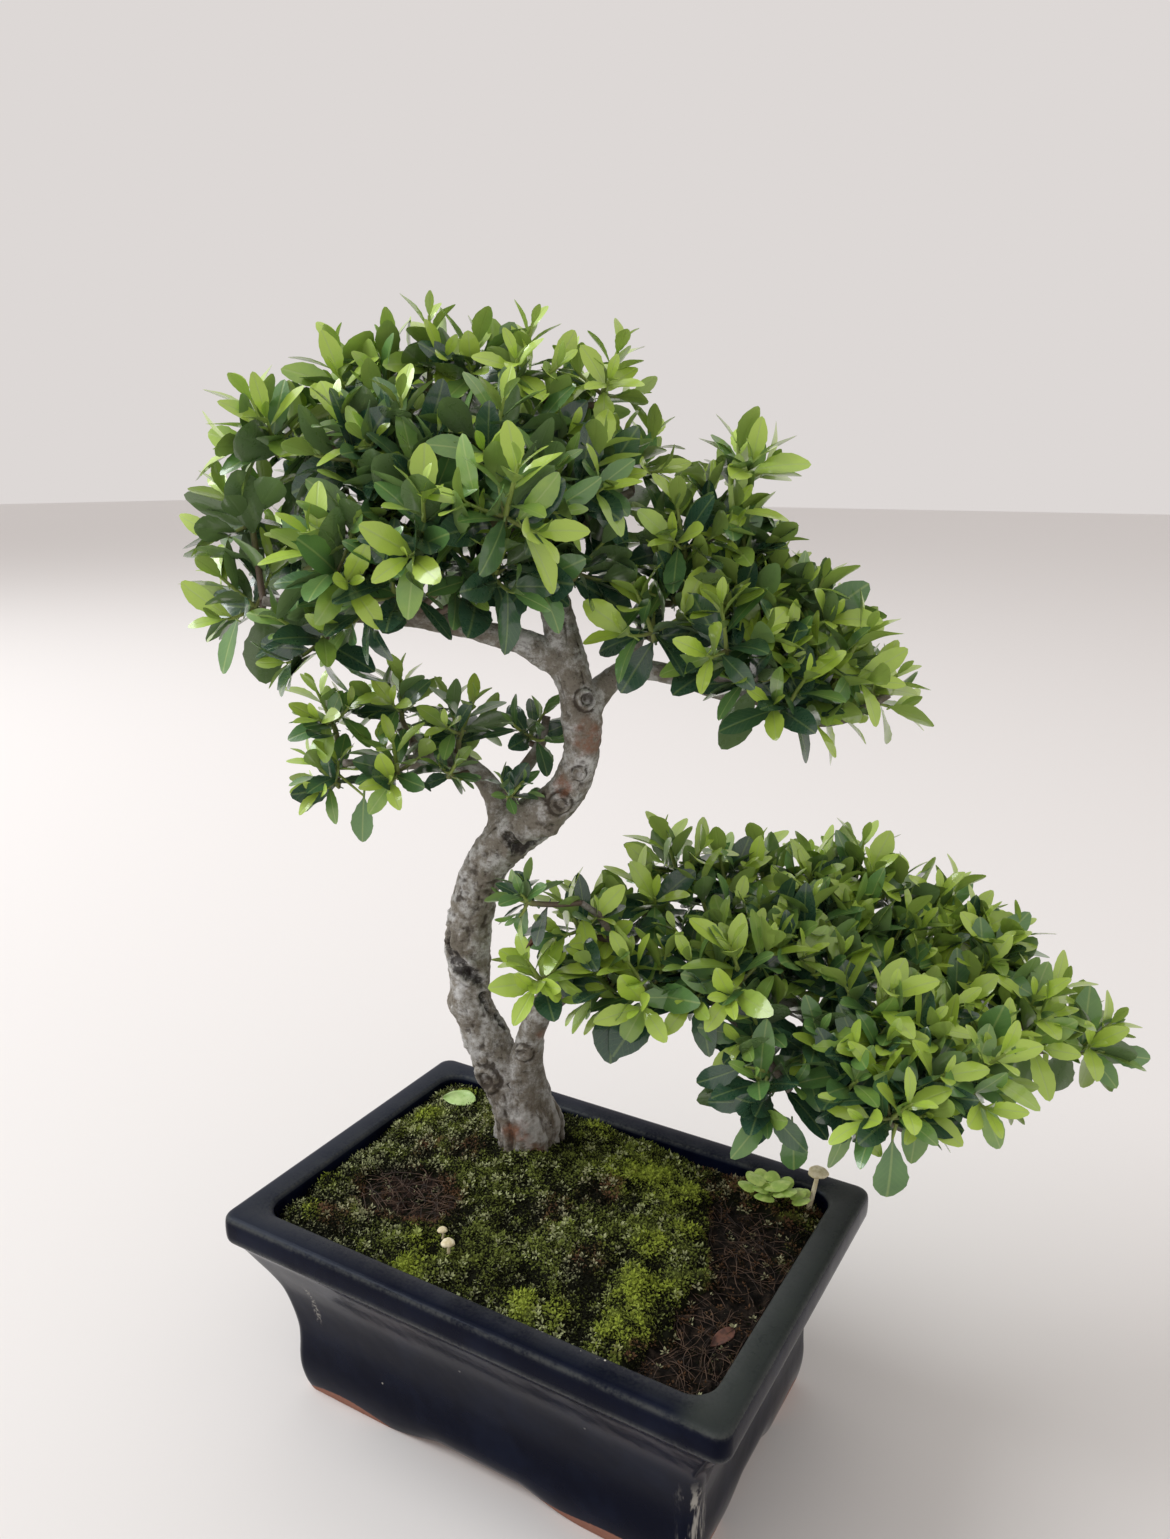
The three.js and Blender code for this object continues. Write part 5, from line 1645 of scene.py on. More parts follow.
@dataclass
class Blade:
    """The pattern leaf: its points say how far across, how far along and on which side they lie."""

    outline: Outline
    stations: int = 12
    teeth: float = 0.03

    def half_width(self, share: np.ndarray) -> np.ndarray:
        """Half the width at a share of the length, as a share of the widest half.

        Args:
            share: Shares of the length.

        Returns:
            The half width at each.
        """
        share = np.clip(share, 0, 1)
        if self.outline is Outline.ROUND:
            return np.sin(math.pi * share ** 0.8) ** 0.5
        return np.sin(math.pi * share ** 1.25) ** 0.75

    def shape(self) -> Shape:
        """Returns the pattern: a thin closed blade with a sharp rim, and a stalk.

        Returns:
            The shape.
        """
        count = self.stations
        steps = np.linspace(0, 1, count + 1)
        inner = (steps * (1.3 - 0.3 * steps))[1:-1]
        wide = self.half_width(inner) * (1 - self.teeth * 2 * (np.arange(1, count) % 2))
        nudge = 0.25 / count * (np.arange(1, count) % 2)
        columns = [np.stack([np.zeros_like(inner), inner, np.ones_like(inner)], 1),
                   np.stack([wide, inner + nudge, np.zeros_like(inner)], 1),
                   np.stack([np.zeros_like(inner), inner, -np.ones_like(inner)], 1),
                   np.stack([-wide, inner + nudge, np.zeros_like(inner)], 1)]
        points = np.concatenate([[[0, 0, 0]], *columns, [[0, 1, 0]]])
        span, last = count - 1, 4 * (count - 1) + 1
        faces = []
        for column in range(4):
            a, b = 1 + column * span, 1 + (column + 1) % 4 * span
            faces.append((0, a, b))
            faces.append((last, b + span - 1, a + span - 1))
            for k in range(span - 1):
                faces.append((a + k, a + k + 1, b + k + 1, b + k))
        made = Shape()
        made.add(points, faces, blade=points)
        corners = ((0.09, 0.4), (-0.09, 0.4), (0, -1.2))
        stalk = np.array([[x, y, z] for y in (-0.14, 0.06) for x, z in corners])
        sides = [(0, 2, 1), (3, 4, 5), (0, 1, 4, 3), (1, 2, 5, 4), (2, 0, 3, 5)]
        made.add(stalk, sides, blade=stalk)
        return made

    def object(self) -> bpy.types.Object:
        """Makes the pattern as an object with a sharp rim.

        Returns:
            The object.
        """
        made = self.shape().object(f"pattern_{self.outline.name.lower()}")
        mesh = made.data
        sharp = mesh.attributes.new("sharp_edge", "BOOLEAN", "EDGE")
        rows = np.array([vertex.co[2] for vertex in mesh.vertices])
        on_rim = [bool(abs(rows[a]) + abs(rows[b]) < 1e-6) for a, b in mesh.edge_keys]
        sharp.data.foreach_set("value", on_rim)
        return made


@dataclass
class Leafage:
    """All leaves and twigs of the tree."""

    twig_base: float = 1.5
    twig_neck: float = 1.15
    twig_tip: float = 0.55
    side_base: float = 0.8
    side_tip: float = 0.42
    twig_sides: int = 7
    thin_wood: float = 5.2
    climb_cost: float = 0.6
    neighbours: float = 52.0
    inwards: float = 5.0
    wide_gap: float = 1.35
    fill_reach: float = 15.0
    shade_span: float = 60.0
    least_shade: float = -0.22
    most_shade: float = 0.34
    trailer_width: float = 0.48
    thickness: float = 0.22

    def __post_init__(self) -> None:
        """Makes the trees and the pattern that all masses share."""
        self.leaf_tree = LeafRepeater()
        self.stem_tree = StemRepeater()
        self.pattern = Blade(Outline.HOLLY).object()
        self.springs = self._springs()

    def _springs(self) -> Run:
        """Returns every place on thin wood that a branchlet can spring from.

        Returns:
            The places, with the wood's radius.
        """
        runs = [Run.through(listed, 3.0) for listed in [TRUNK, *BOUGHS.values()]]
        points = np.concatenate([run.points for run in runs])
        radii = np.concatenate([run.radii for run in runs])
        thin = radii < self.thin_wood
        return Run(points[thin], radii[thin])

    def _spring(self, neck: np.ndarray) -> tuple[np.ndarray, float]:
        """Returns the best place for a branchlet to spring from, and the wood's radius there.

        Args:
            neck: The neck of the branchlet's spray.

        Returns:
            The place and the radius.
        """
        climb = np.maximum(0, self.springs.points[:, 2] - neck[2])
        away = np.linalg.norm(self.springs.points - neck, axis=1)
        best = np.argmin(away + self.climb_cost * climb)
        return self.springs.points[best], float(self.springs.radii[best])

    def build(self) -> None:
        """Builds and dresses every mass."""
        number = 0
        sprays: dict[str, list[Spray]] = {}
        for mass, facts in MASSES.items():
            sprays[mass] = []
            for order, listed in enumerate(facts["shoots"]):
                number += 1
                shade = self._shade(facts, number, listed) + facts["tints"].get(order + 1, 0.0)
                scale = facts["leaf"] * facts.get("small", {}).get(order + 1, 1.0)
                sprays[mass].append(Spray(number, facts["heart"], listed, shade, scale))
        for mass, facts in MASSES.items():
            for listed in [*facts["fill"], *self._between(facts)]:
                number += 1
                fresh = float(ramp_up(listed[0], *facts["fresh"]))
                # Filling sprays lie inside the mass and take painted shade as well as an older
                # look, less where they turn young.
                shade = self._shade(facts, number, listed) + 0.3 - 0.3 * fresh
                sprays[mass].append(Spray(number, facts["heart"], listed, shade, facts["leaf"]))
        for mass, group in sprays.items():
            radii = []
            for spray in group:
                point, radius = self._spring(spray.neck)
                spray.spring_from(point)
                radii.append(radius)
            self._leaves(mass, group)
            self._twigs(mass, group, radii)
        bpy.data.objects.remove(self.pattern)

    def _between(self, facts: dict) -> list[list[float]]:
        """Returns sprays that fill the gaps between neighbours, a little nearer the heart.

        Args:
            facts: The mass's facts.

        Returns:
            The sprays, listed like those of the mass.
        """
        taken = [np.array(listed[:3], float) for listed in [*facts["shoots"], *facts["fill"]]]
        own, heart, added = list(taken), np.array(facts["heart"], float), []
        for order, first in enumerate(own):
            for second in own[order + 1:]:
                if np.linalg.norm(first - second) > self.neighbours:
                    continue
                middle = (first + second) / 2
                middle = middle + unit(heart - middle) * self.inwards
                wide = middle[0] < facts.get("open", -math.inf)
                gap = facts["gap"] * (self.wide_gap if wide else 1.0)
                if min(np.linalg.norm(middle - other) for other in taken) > gap:
                    taken.append(middle)
                    added.append([*middle, self.fill_reach])
        return added

    def _shade(self, facts: dict, number: int, listed: Sequence[float]) -> float:
        """How much darker than a young shoot a spray's leaves are: partly age, partly painted
        shade, less at the top of its mass.

        Args:
            facts: The mass's facts.
            number: The spray's number.
            listed: The spray's place.

        Returns:
            The shade, above 0 for an older and more shaded look.
        """
        above = (listed[2] - facts["heart"][2]) / self.shade_span
        shade = 0.12 - 0.24 * above + 0.26 * (draw(number, 2, 20) - 0.5) + facts["dark"]
        return float(np.clip(shade, self.least_shade, self.most_shade))

    def _leaves(self, mass: str, sprays: list[Spray]) -> None:
        """Builds one mass's leaves.

        Args:
            mass: The mass's name.
            sprays: Its sprays.
        """
        leaves = [leaf for spray in sprays for leaf in spray.leaves()]
        for k, listed in enumerate(TRAILERS.get(mass, [])):
            foot, way = np.array(listed[:3], float), np.array(listed[3:6], float)
            length, tone = listed[9:]
            width, face = self.trailer_width * length, np.array([0, -1, 0.3])
            leaves.append(leaf_facts(foot, way, face, length, width, tone, (k, 3)))
        log.info("%s: %d sprays, %d leaves", mass, len(sprays), len(leaves))
        piece = leaves_at(f"leaves_{mass}", leaves)
        self.leaf_tree.run(piece, Blade=self.pattern, Thickness=self.thickness * MM,
                           Finish=LEAF.material())
        count = len(MASSES[mass]["shoots"])
        dress(piece, "leaf", *[f"spray_{mass}_{k + 1:02d}" for k in range(count)])

    def _twigs(self, mass: str, sprays: list[Spray], radii: list[float]) -> None:
        """Builds one mass's twigs.

        Args:
            mass: The mass's name.
            sprays: Its sprays.
            radii: The wood's radius where each spray springs from.
        """
        lines = []
        for spray, radius in zip(sprays, radii):
            leader = spray.shoots[0]
            path = [spray.root.at(t) for t in np.linspace(0, 1, 8)]
            path += [leader.at(t) for t in np.linspace(0.15, 1, 7)]
            base = min(self.twig_base, 0.8 * radius)
            girth = np.concatenate([np.linspace(base, self.twig_neck, 8),
                                    np.linspace(self.twig_neck, self.twig_tip, 8)[1:]])
            lines.append((np.array(path), girth, np.linspace(0, 1, 15)))
            for side in spray.shoots[1:]:
                points = np.array([side.at(t) for t in np.linspace(0, 1, 8)])
                girth = np.linspace(self.side_base, self.side_tip, 8)
                lines.append((points, girth, np.linspace(0.45, 1, 8)))
        for listed in TRAILERS.get(mass, []):
            start, end = np.array(listed[6:9], float), np.array(listed[:3], float)
            points = np.array([start + (end - start) * t for t in np.linspace(0, 1, 6)])
            lines.append((points, np.linspace(0.7, 0.45, 6), np.linspace(0.5, 1, 6)))
        piece = stems_along(f"twigs_{mass}", [(from_tree(a), b * MM, c) for a, b, c in lines])
        self.stem_tree.run(piece, Sides=self.twig_sides, Finish=TWIG.material())
        dress(piece, "bark")


def leaves_at(name: str, leaves: list[dict]) -> bpy.types.Object:
    """Makes an object of one point for each leaf, which carries its facts.

    Args:
        name: The object's name.
        leaves: The facts of each leaf.

    Returns:
        The object.
    """
    mesh = bpy.data.meshes.new(name)
    mesh.from_pydata([leaf["foot"] for leaf in leaves], [], [])
    for key in leaves[0]:
        attach(mesh, key, np.array([leaf[key] for leaf in leaves]))
    return placed(name, mesh)


def stems_along(name: str,
                lines: list[tuple[np.ndarray, np.ndarray, np.ndarray]]) -> bpy.types.Object:
    """Makes an object of lines of points, which carry their girth and their tone.

    Args:
        name: The object's name.
        lines: The points, girths and tones of each line.

    Returns:
        The object.
    """
    mesh = bpy.data.meshes.new(name)
    edges, count = [], 0
    for points, _, _ in lines:
        edges.extend((count + k, count + k + 1) for k in range(len(points) - 1))
        count += len(points)
    mesh.from_pydata(np.concatenate([line[0] for line in lines]), edges, [])
    attach(mesh, "girth", np.concatenate([line[1] for line in lines]))
    attach(mesh, "tone", np.concatenate([line[2] for line in lines]))
    return placed(name, mesh)


# The pot and what lies in it.


RING_END = 12.0


def rounded_ring(inset: float, corner: float, steps: int, spacing: float) -> np.ndarray:
    """Points of a rounded rectangle inside the rim's outline.

    Args:
        inset: Distance inside the rim's edge.
        corner: The corners' radius.
        steps: Parts of each corner.
        spacing: Distance between the points of the straight sides.

    Returns:
        Points as [x, y], anticlockwise from the far right corner.
    """
    x, y = HALF_LENGTH - inset - corner, HALF_WIDTH - inset - corner
    ring = []
    centres = [(x, y), (-x, y), (-x, -y), (x, -y)]
    for quarter, (cx, cy) in enumerate(centres):
        for k in range(steps + 1):
            angle = (quarter + k / steps) * math.pi / 2
            ring.append((cx + corner * math.cos(angle), cy + corner * math.sin(angle)))
        half = HALF_LENGTH if quarter % 2 == 0 else HALF_WIDTH
        parts = int(2 * (half - RING_END) / spacing)
        nx, ny = centres[(quarter + 1) % 4]
        turn = (quarter + 1) * math.pi / 2
        start = np.array(ring[-1])
        end = np.array([nx + corner * math.cos(turn), ny + corner * math.sin(turn)])
        ring.extend(tuple(start + (end - start) * k / parts) for k in range(1, parts))
    return np.array(ring)


def on_long_side(ring: np.ndarray) -> np.ndarray:
    """Says which points of a ring are nearer a long side than a short one."""
    return (HALF_WIDTH - np.abs(ring[:, 1])) < (HALF_LENGTH - np.abs(ring[:, 0]))


@dataclass
class Pot:
    """The glazed pot with its arched skirt."""

    outside: tuple = ((20, 0), (19.6, 0.8), (18.1, 5.4), (17, 13.4), (17.6, 24.1), (17.3, 32.2),
                      (14.3, 47.6), (11, 55.6), (7.1, 63.2), (3.4, 70.6), (0.7, 72.8), (0, 75),
                      (0, 81.8), (0.7, 83.4), (2.2, 84))
    inside: tuple = ((10.2, 84), (11.2, 83.3), (12, 81.5), (13, 72), (19, 54), (23, 39), (25, 14.6),
                     (27, 14))
    under: tuple = ((29, 8), (29, 0.6), (28.4, 0), (20.6, 0))
    corner: float = 5.0
    well_corner: float = 9.0
    steps: int = 10
    spacing: float = 3.0
    arch: float = 5.0
    arch_height: float = 14.0
    arch_halves: tuple = (45, 24)
    lip_height: float = 82.5
    unglazed: float = 3.0
    # Edges of the rim that are worn and carry a painted highlight line.
    worn_and_highlit_edges: tuple = ((0.4, 83.0), (0.2, 74.2), (10.8, 83.6))
    drain_places: tuple = (-45, 45)
    drain_radius: float = 7.0
    drain_sides: int = 32
    drain_heights: tuple = (2.0, 20.0)

    def build(self) -> None:
        """Makes the pot's mesh and dresses it."""
        rows = [(inset, z, self.corner if inset < 25 else self.well_corner, True)
                for inset, z in self.under]
        rows += [(inset, z, self.corner, False) for inset, z in self._rounded(self.outside)]
        rows += [(inset, z, self.well_corner, False) for inset, z in self._rounded(self.inside)]
        rings, edge, lip, bare = [], [], [], []
        for inset, z, corner, hidden in rows:
            ring = rounded_ring(inset, corner, self.steps, self.spacing)
            rings.append(np.column_stack([ring, self._lifted(ring, z)]))
            clay = np.full(len(ring), self.unglazed) if hidden else self._clay(ring) - z
            bare.append(clay)
            edge.append(np.full(len(ring), 0.0 if hidden else self._edge(inset, z)))
            lip.append(np.full(len(ring), float(z > self.lip_height)))
        shape = Shape()
        shape.add(from_pot(np.concatenate(rings)), capped(len(rings), len(rings[0])),
                  edge=np.concatenate(edge), lip=np.concatenate(lip), bare=np.concatenate(bare))
        piece = shape.object("glazed_pot", GLAZE)
        self._drill(piece)
        dress(piece, "pot_glaze", "pot")

    @staticmethod
    def _rounded(profile: Sequence[tuple[float, float]]) -> list[tuple[float, float]]:
        """Cuts a profile's corners twice.

        Args:
            profile: Points of the profile.

        Returns:
            The rounder profile's points.
        """
        points = [np.array(point, float) for point in profile]
        for _ in range(2):
            cut = [points[0]]
            for a, b in zip(points, points[1:]):
                cut.extend([a * 0.75 + b * 0.25, a * 0.25 + b * 0.75])
            points = [*cut, points[-1]]
        return [tuple(point) for point in points]

    def _lifted(self, ring: np.ndarray, z: float) -> np.ndarray:
        """Heights of a ring's points, lifted off the floor between the feet.

        Args:
            ring: The ring's points, as [x, y].
            z: The ring's own height.

        Returns:
            A height for each point.
        """
        long_side, short_side = (np.abs(ring[:, k]) / self.arch_halves[k] for k in (0, 1))
        share = np.where(on_long_side(ring), long_side, short_side)
        wave = (1 + np.cos(math.pi * np.clip(share, 0, 1))) / 2
        rise = np.minimum(np.where(share < 1, wave * self.arch * 1.6, 0), self.arch)
        return z + rise * max(0.0, 1 - z / self.arch_height)

    @staticmethod
    def _clay(ring: np.ndarray) -> np.ndarray:
        """How far up the glaze stops at a ring's points, in bows that are higher on the right.

        Args:
            ring: The ring's points, as [x, y].

        Returns:
            A height for each point.
        """
        x, y = ring[:, 0], ring[:, 1]
        long_side = np.where(x > 0, (x - 24) / 72, (-x - 40) / 48)
        reach = np.where(on_long_side(ring), long_side, (np.abs(y) - 24) / 32)
        bow = np.sin(math.pi * np.clip(reach, 0, 1))
        return bow * np.where(x > 0, 6.4, 5.0)

    def _edge(self, inset: float, z: float) -> float:
        """How near a row is to an edge of the rim."""
        return float(max(math.exp(-((inset - a) ** 2 + (z - b) ** 2) / 0.8)
                         for a, b in self.worn_and_highlit_edges))

    def _drill(self, piece: bpy.types.Object) -> None:
        """Cuts the two drain holes.

        Args:
            piece: The pot.
        """
        shape = Shape()
        sides = self.drain_sides
        angles = np.arange(sides) * math.tau / sides
        circle = self.drain_radius * np.column_stack([np.cos(angles), np.sin(angles)])
        for place in self.drain_places:
            points = [np.column_stack([circle + (place, 0), np.full(sides, z)])
                      for z in self.drain_heights]
            shape.add(from_pot(np.concatenate(points)), capped(2, sides))
        cutter = shape.object("drain_cutter")
        modifier = piece.modifiers.new("drains", "BOOLEAN")
        modifier.operation, modifier.object, modifier.solver = "DIFFERENCE", cutter, "EXACT"
        baked(piece)
        bpy.data.objects.remove(cutter)


@dataclass
class Ground:
    """The soil's surface and the moss on it, as functions of the place in the pot."""

    level: float = 76.0
    mounds: tuple = ((-29, 28, 10, 34), (34, -8, 7, 38), (-62, -22, 2.5, 30), (-70, 42, 3, 26))
    wall_inset: float = 13.0
    corner: float = 8.6
    around: float = 2.5
    rows: int = 90
    bare_edge: tuple = ((-60, 62), (-42, 68), (-25, 66), (-6, 70), (14, 63), (31, 53), (56, 36))
    bright_spots: tuple = ((26, 34, 17), (46, 30, 15), (55, 10, 10), (46, -7, 8), (54, -29, 14),
                           (57, -45, 11), (-29, -42, 8), (-28, -54, 7), (-80, 24, 9), (-76, 50, 9),
                           (-80, -47, 7), (-87, -30, 7), (59, 53, 9), (78, 52, 8), (33, -48, 6),
                           (20, -51, 6), (-8, 52, 10))
    brown_spots: tuple = ((14, 14, 11), (-50, 12, 11), (-67, 6, 9), (-71, -45, 10), (-46, 34, 9),
                          (68, -51, 9), (80, -49, 8), (-36, -20, 8), (4, -6, 9), (30, -24, 8))
    mat: tuple = (-54, -22)
    mat_halves: tuple = (26, 19)

    def height(self, x: np.ndarray, y: np.ndarray) -> np.ndarray:
        """The soil's height at places in the pot.

        Args:
            x, y: The places.

        Returns:
            The height at each.
        """
        height = self.level + 0.7 * np.sin(0.11 * x + 1) * np.cos(0.13 * y)
        for mound_x, mound_y, rise, spread in self.mounds:
            height = height + rise * self._spot(x - mound_x, y - mound_y, spread)
        return height

    @staticmethod
    def _spot(x: np.ndarray, y: np.ndarray, spread: float) -> np.ndarray:
        """A soft round spot: 1 in its middle, 0 well outside."""
        return np.exp(-(x ** 2 + y ** 2) / spread ** 2)

    def off_mat(self, x: np.ndarray, y: np.ndarray, less: float = 0.0) -> np.ndarray:
        """How far places are from the mat of roots, squared, as a share of its halves.

        Args:
            x, y: The places.
            less: How much smaller the halves are taken.

        Returns:
            The squared distance at each, 1 at the mat's edge.
        """
        middle_x, middle_y = self.mat
        half_x, half_y = self.mat_halves
        return ((x - middle_x) / (half_x - less)) ** 2 + ((y - middle_y) / (half_y - less)) ** 2

    def growth(self, x: np.ndarray, y: np.ndarray) -> np.ndarray:
        """How thickly moss grows at places in the pot, from 0 to 1.

        Args:
            x, y: The places.

        Returns:
            The growth at each.
        """
        flat = np.stack([x, y, np.zeros_like(x)], axis=-1).reshape(-1, 3)
        ragged = (noise(flat, 9, 21) + 0.6 * noise(flat, 4, 22)).reshape(x.shape)
        front = np.interp(y, *zip(*self.bare_edge))
        end = ramp_up(-(x - front + ragged * 4.5), -3, 4)
        end = np.maximum(end, 0.75 * ramp_up(y + ragged * 3, 38, 47))
        end = np.maximum(end, 0.6 * ramp_up(x, 80, 88) * ramp_up(y, 4, 30))
        away = np.sqrt(self.off_mat(x, y, 4)) + ragged * 0.2
        return np.minimum(end, 0.25 + 0.75 * ramp_up(away, 0.7, 1.15))

    def dry(self, x: np.ndarray, y: np.ndarray) -> np.ndarray:
        """How brown the moss is at places in the pot, from 0 to 1.

        Args:
            x, y: The places.

        Returns:
            The share of brown at each.
        """
        front = np.interp(y, *zip(*self.bare_edge))
        away = np.sqrt(self.off_mat(x, y, 2))
        by_mat = 0.9 * (1 - ramp_up(away, 0.7, 1.3))
        dry = np.maximum(by_mat, 0.45 * ramp_up(x, front - 4, front + 5))
        return np.maximum(dry, 0.62 * self._spots(self.brown_spots, x, y))

    def bright(self, x: np.ndarray, y: np.ndarray) -> np.ndarray:
        """How bright the moss is at places in the pot, from 0 to 1."""
        return self._spots(self.bright_spots, x, y)

    def _spots(self, listed: Sequence[Sequence[float]], x: np.ndarray, y: np.ndarray) -> np.ndarray:
        """Joins soft round spots: 1 in the middle of each, 0 well outside.

        Args:
            listed: Each spot's x, y and spread.
            x, y: The places.

        Returns:
            The strongest spot at each.
        """
        total = np.zeros_like(x)
        for middle_x, middle_y, spread in listed:
            total = np.maximum(total, self._spot(x - middle_x, y - middle_y, spread))
        return total

    def grid(self) -> tuple[np.ndarray, int]:
        """Places from the wall in to the trunk, ring by ring, and how many each ring has.

        Returns:
            The places, and the points in each ring.
        """
        wall = rounded_ring(self.wall_inset, self.corner, 8, self.around)
        foot = TREE_FOOT[:2]
        shares = np.linspace(1, 0.06, self.rows)
        return np.concatenate([foot + (wall - foot) * share for share in shares]), len(wall)


@dataclass
class SoilBed:
    """Crumbly soil that fills the pot."""

    ground: Ground
    walls: tuple = ((24.6, 14.4), (23.2, 39), (19.3, 54), (13.4, 72))
    rootlets: int = 330
    rootlet_parts: int = 7
    within: tuple = (91, 58)

    def build(self) -> None:
        """Makes the soil's mesh and dresses it."""
        places, count = self.ground.grid()
        x, y = places[:, 0], places[:, 1]
        bare = 1 - self.ground.growth(x, y)
        flat = np.column_stack([places, np.zeros(len(places))])
        crumbs = noise(flat, 4.2, 31) * 0.9 + noise(flat, 2.2, 32) * 0.7
        z = self.ground.height(x, y) + crumbs * (0.25 + 1.1 * bare) - 0.3
        z[:count] = self.ground.height(x[:count], y[:count]) - 0.6
        top = np.column_stack([places, z])
        sides = []
        for inset, height in self.walls:
            ring = rounded_ring(inset, self.ground.corner, 8, self.ground.around)
            sides.append(np.column_stack([ring, np.full(count, height)]))
        points = np.concatenate([*sides, top])
        fibrous = np.exp(-self.ground.off_mat(x, y) ** 2)
        shape = Shape()
        shape.add(from_pot(points), capped(len(points) // count, count),
                  fibrous=np.concatenate([np.zeros(len(self.walls) * count), fibrous]))
        dress(shape.object("crumbly_soil", SOIL), "soil", "soil")
        self._litter()

    def _litter(self) -> None:
        """Scatters rootlets over the bare soil."""
        chance = np.random.default_rng(7)
        lines = []
        parts, limit = self.rootlet_parts, np.array(self.within)
        while len(lines) < self.rootlets:
            x, y = chance.uniform(-90, 90), chance.uniform(-57, 57)
            bare = 1 - float(self.ground.growth(np.array([x]), np.array([y]))[0])
            in_mat = ((x + 56) / 25) ** 2 + ((y + 20) / 17) ** 2 < 1
            if chance.random() > bare ** 2 + 0.01 + 0.4 * in_mat:
                continue
            length, way = chance.uniform(5, 20), chance.uniform(0, math.tau)
            curl, rise = chance.normal(0, 0.09), chance.uniform(0.2, 1.6)
            points = [(x, y)]
            for _ in range(parts):
                way += curl + chance.normal(0, 0.16)
                x, y = x + length / parts * math.cos(way), y + length / parts * math.sin(way)
                points.append((x, y))
            line = np.clip(np.array(points), -limit, limit)
            arc = np.sin(np.linspace(0, math.pi, parts + 1)) * rise
            z = self.ground.height(line[:, 0], line[:, 1]) + arc + (1.1 if in_mat else 0.1)
            girth = np.full(parts + 1, chance.uniform(0.08, 0.17) + 0.04 * in_mat)
            lines.append((from_pot(np.column_stack([line, z])), girth * MM, np.zeros(parts + 1)))
        piece = stems_along("rootlets", lines)
        StemRepeater().run(piece, Sides=4, Finish=ROOTLET.material())
        dress(piece, "soil")


@dataclass
class MossCarpet:
    """Cushions of moss, with a tuft at every shoot."""

    ground: Ground
    spacing: float = 1.45
    density: float = 1200000.0
    least: float = 1.3
    most: float = 2.6
    leaves: int = 7

    def build(self) -> None:
        """Makes the moss and dresses it."""
        places, count = self.ground.grid()
        x, y = places[:, 0], places[:, 1]
        growth = self.ground.growth(x, y)
        flat = np.column_stack([places, np.zeros(len(places))])
        lumps = noise(flat, 13, 51) * 1.7 + noise(flat, 5, 52) * 1.5
        depth = 2.6 + lumps + 2.6 * self.ground.bright(x, y)
        inner = ramp_up(np.arange(len(places)) // count, 0, 5)
        soil = self.ground.height(x, y)
        thickness = np.where(growth > 0, depth * growth * (0.4 + 0.6 * inner), 0)
        z = soil + thickness - 1.7 * (1 - growth)
        top = np.column_stack([places, z])
        foot = np.column_stack([places[:count], soil[:count] - 2.4])
        shape = Shape()
        points = np.concatenate([foot, top])
        bright, dry = self.ground.bright(x, y), self.ground.dry(x, y)
        pad = np.zeros(count)
        thick = ramp_up(growth, 0.02, 0.75)
        # Painted shade where the cushion sinks, read by the moss finish.
        hollow = np.clip(0.4 - 0.4 * lumps, 0, 1)
        shape.add(from_pot(points), capped(len(points) // count, count),
                  lift=np.full(len(points), 0.16), chance=np.full(len(points), 0.4),
                  bright=np.concatenate([pad, bright]), dry=np.concatenate([pad, dry]),
                  hollow=np.concatenate([pad, hollow]))
        dress(shape.object("moss_cushions", MOSS), "moss", "moss_carpet")
        cover = Shape()
        top[:, 2] = np.maximum(z, soil)
        cover.add(from_pot(top), grid_faces(len(places) // count, count),
                  growth=np.maximum(thick, 0.22), bright=bright, hollow=hollow,
                  height=0.45 + 0.35 * growth + 0.2 * bright, dry=np.maximum(dry, 1 - growth))
        tufts = cover.object("moss_tufts", MOSS)
        pattern = self._tuft()
        TuftRepeater().run(tufts, Tuft=pattern, Density=self.density, Spacing=self.spacing * MM,
                           Least=self.least * MM, Most=self.most * MM, Seed=4,
                           Finish=MOSS.material())
        bpy.data.objects.remove(pattern)
        dress(tufts, "moss")

    def _tuft(self) -> bpy.types.Object:
        """Makes the pattern tuft: a star of short pointed leaves round an upright one.

        Returns:
            The pattern.
        """
        shape = Shape()
        for k in range(self.leaves):
            upright = k == self.leaves - 1
            angle = k * math.tau / (self.leaves - 1) + 0.3 * (k % 2)
            lean = math.radians(14 if upright else 46 + 16 * (k % 3))
            out = np.array([math.cos(angle), math.sin(angle), 0.0])
            across = np.array([-math.sin(angle), math.cos(angle), 0.0])
            way = out * math.sin(lean) + UP * math.cos(lean)
            belly = out * math.cos(lean) - UP * math.sin(lean)
            foot = UP * (0.1 if upright else -0.1)
            middle = foot + way * 0.55
            points = np.array([foot, middle + across * 0.21, middle - across * 0.21,
                               foot + way + belly * 0.12])
            shape.add(points, [(0, 1, 2), (1, 3, 2), (0, 3, 1), (0, 2, 3)],
                      lift=np.array([0.0, 0.55, 0.55, 1.0]))
        return shape.object("pattern_tuft", None, False)


def box_of(node: str) -> tuple[np.ndarray, np.ndarray]:
    """Returns a node's lowest and highest corner, in millimetres of the pot's frame."""
    low, high = (np.array(corner) / MM - pot_centre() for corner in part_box(node))
    return low, high


def bent(start: np.ndarray, bow: np.ndarray, end: np.ndarray, count: int) -> list[np.ndarray]:
    """Returns points of a bent line."""
    return [(1 - t) ** 2 * start + 2 * t * (1 - t) * bow + t * t * end
            for t in np.linspace(0, 1, count)]


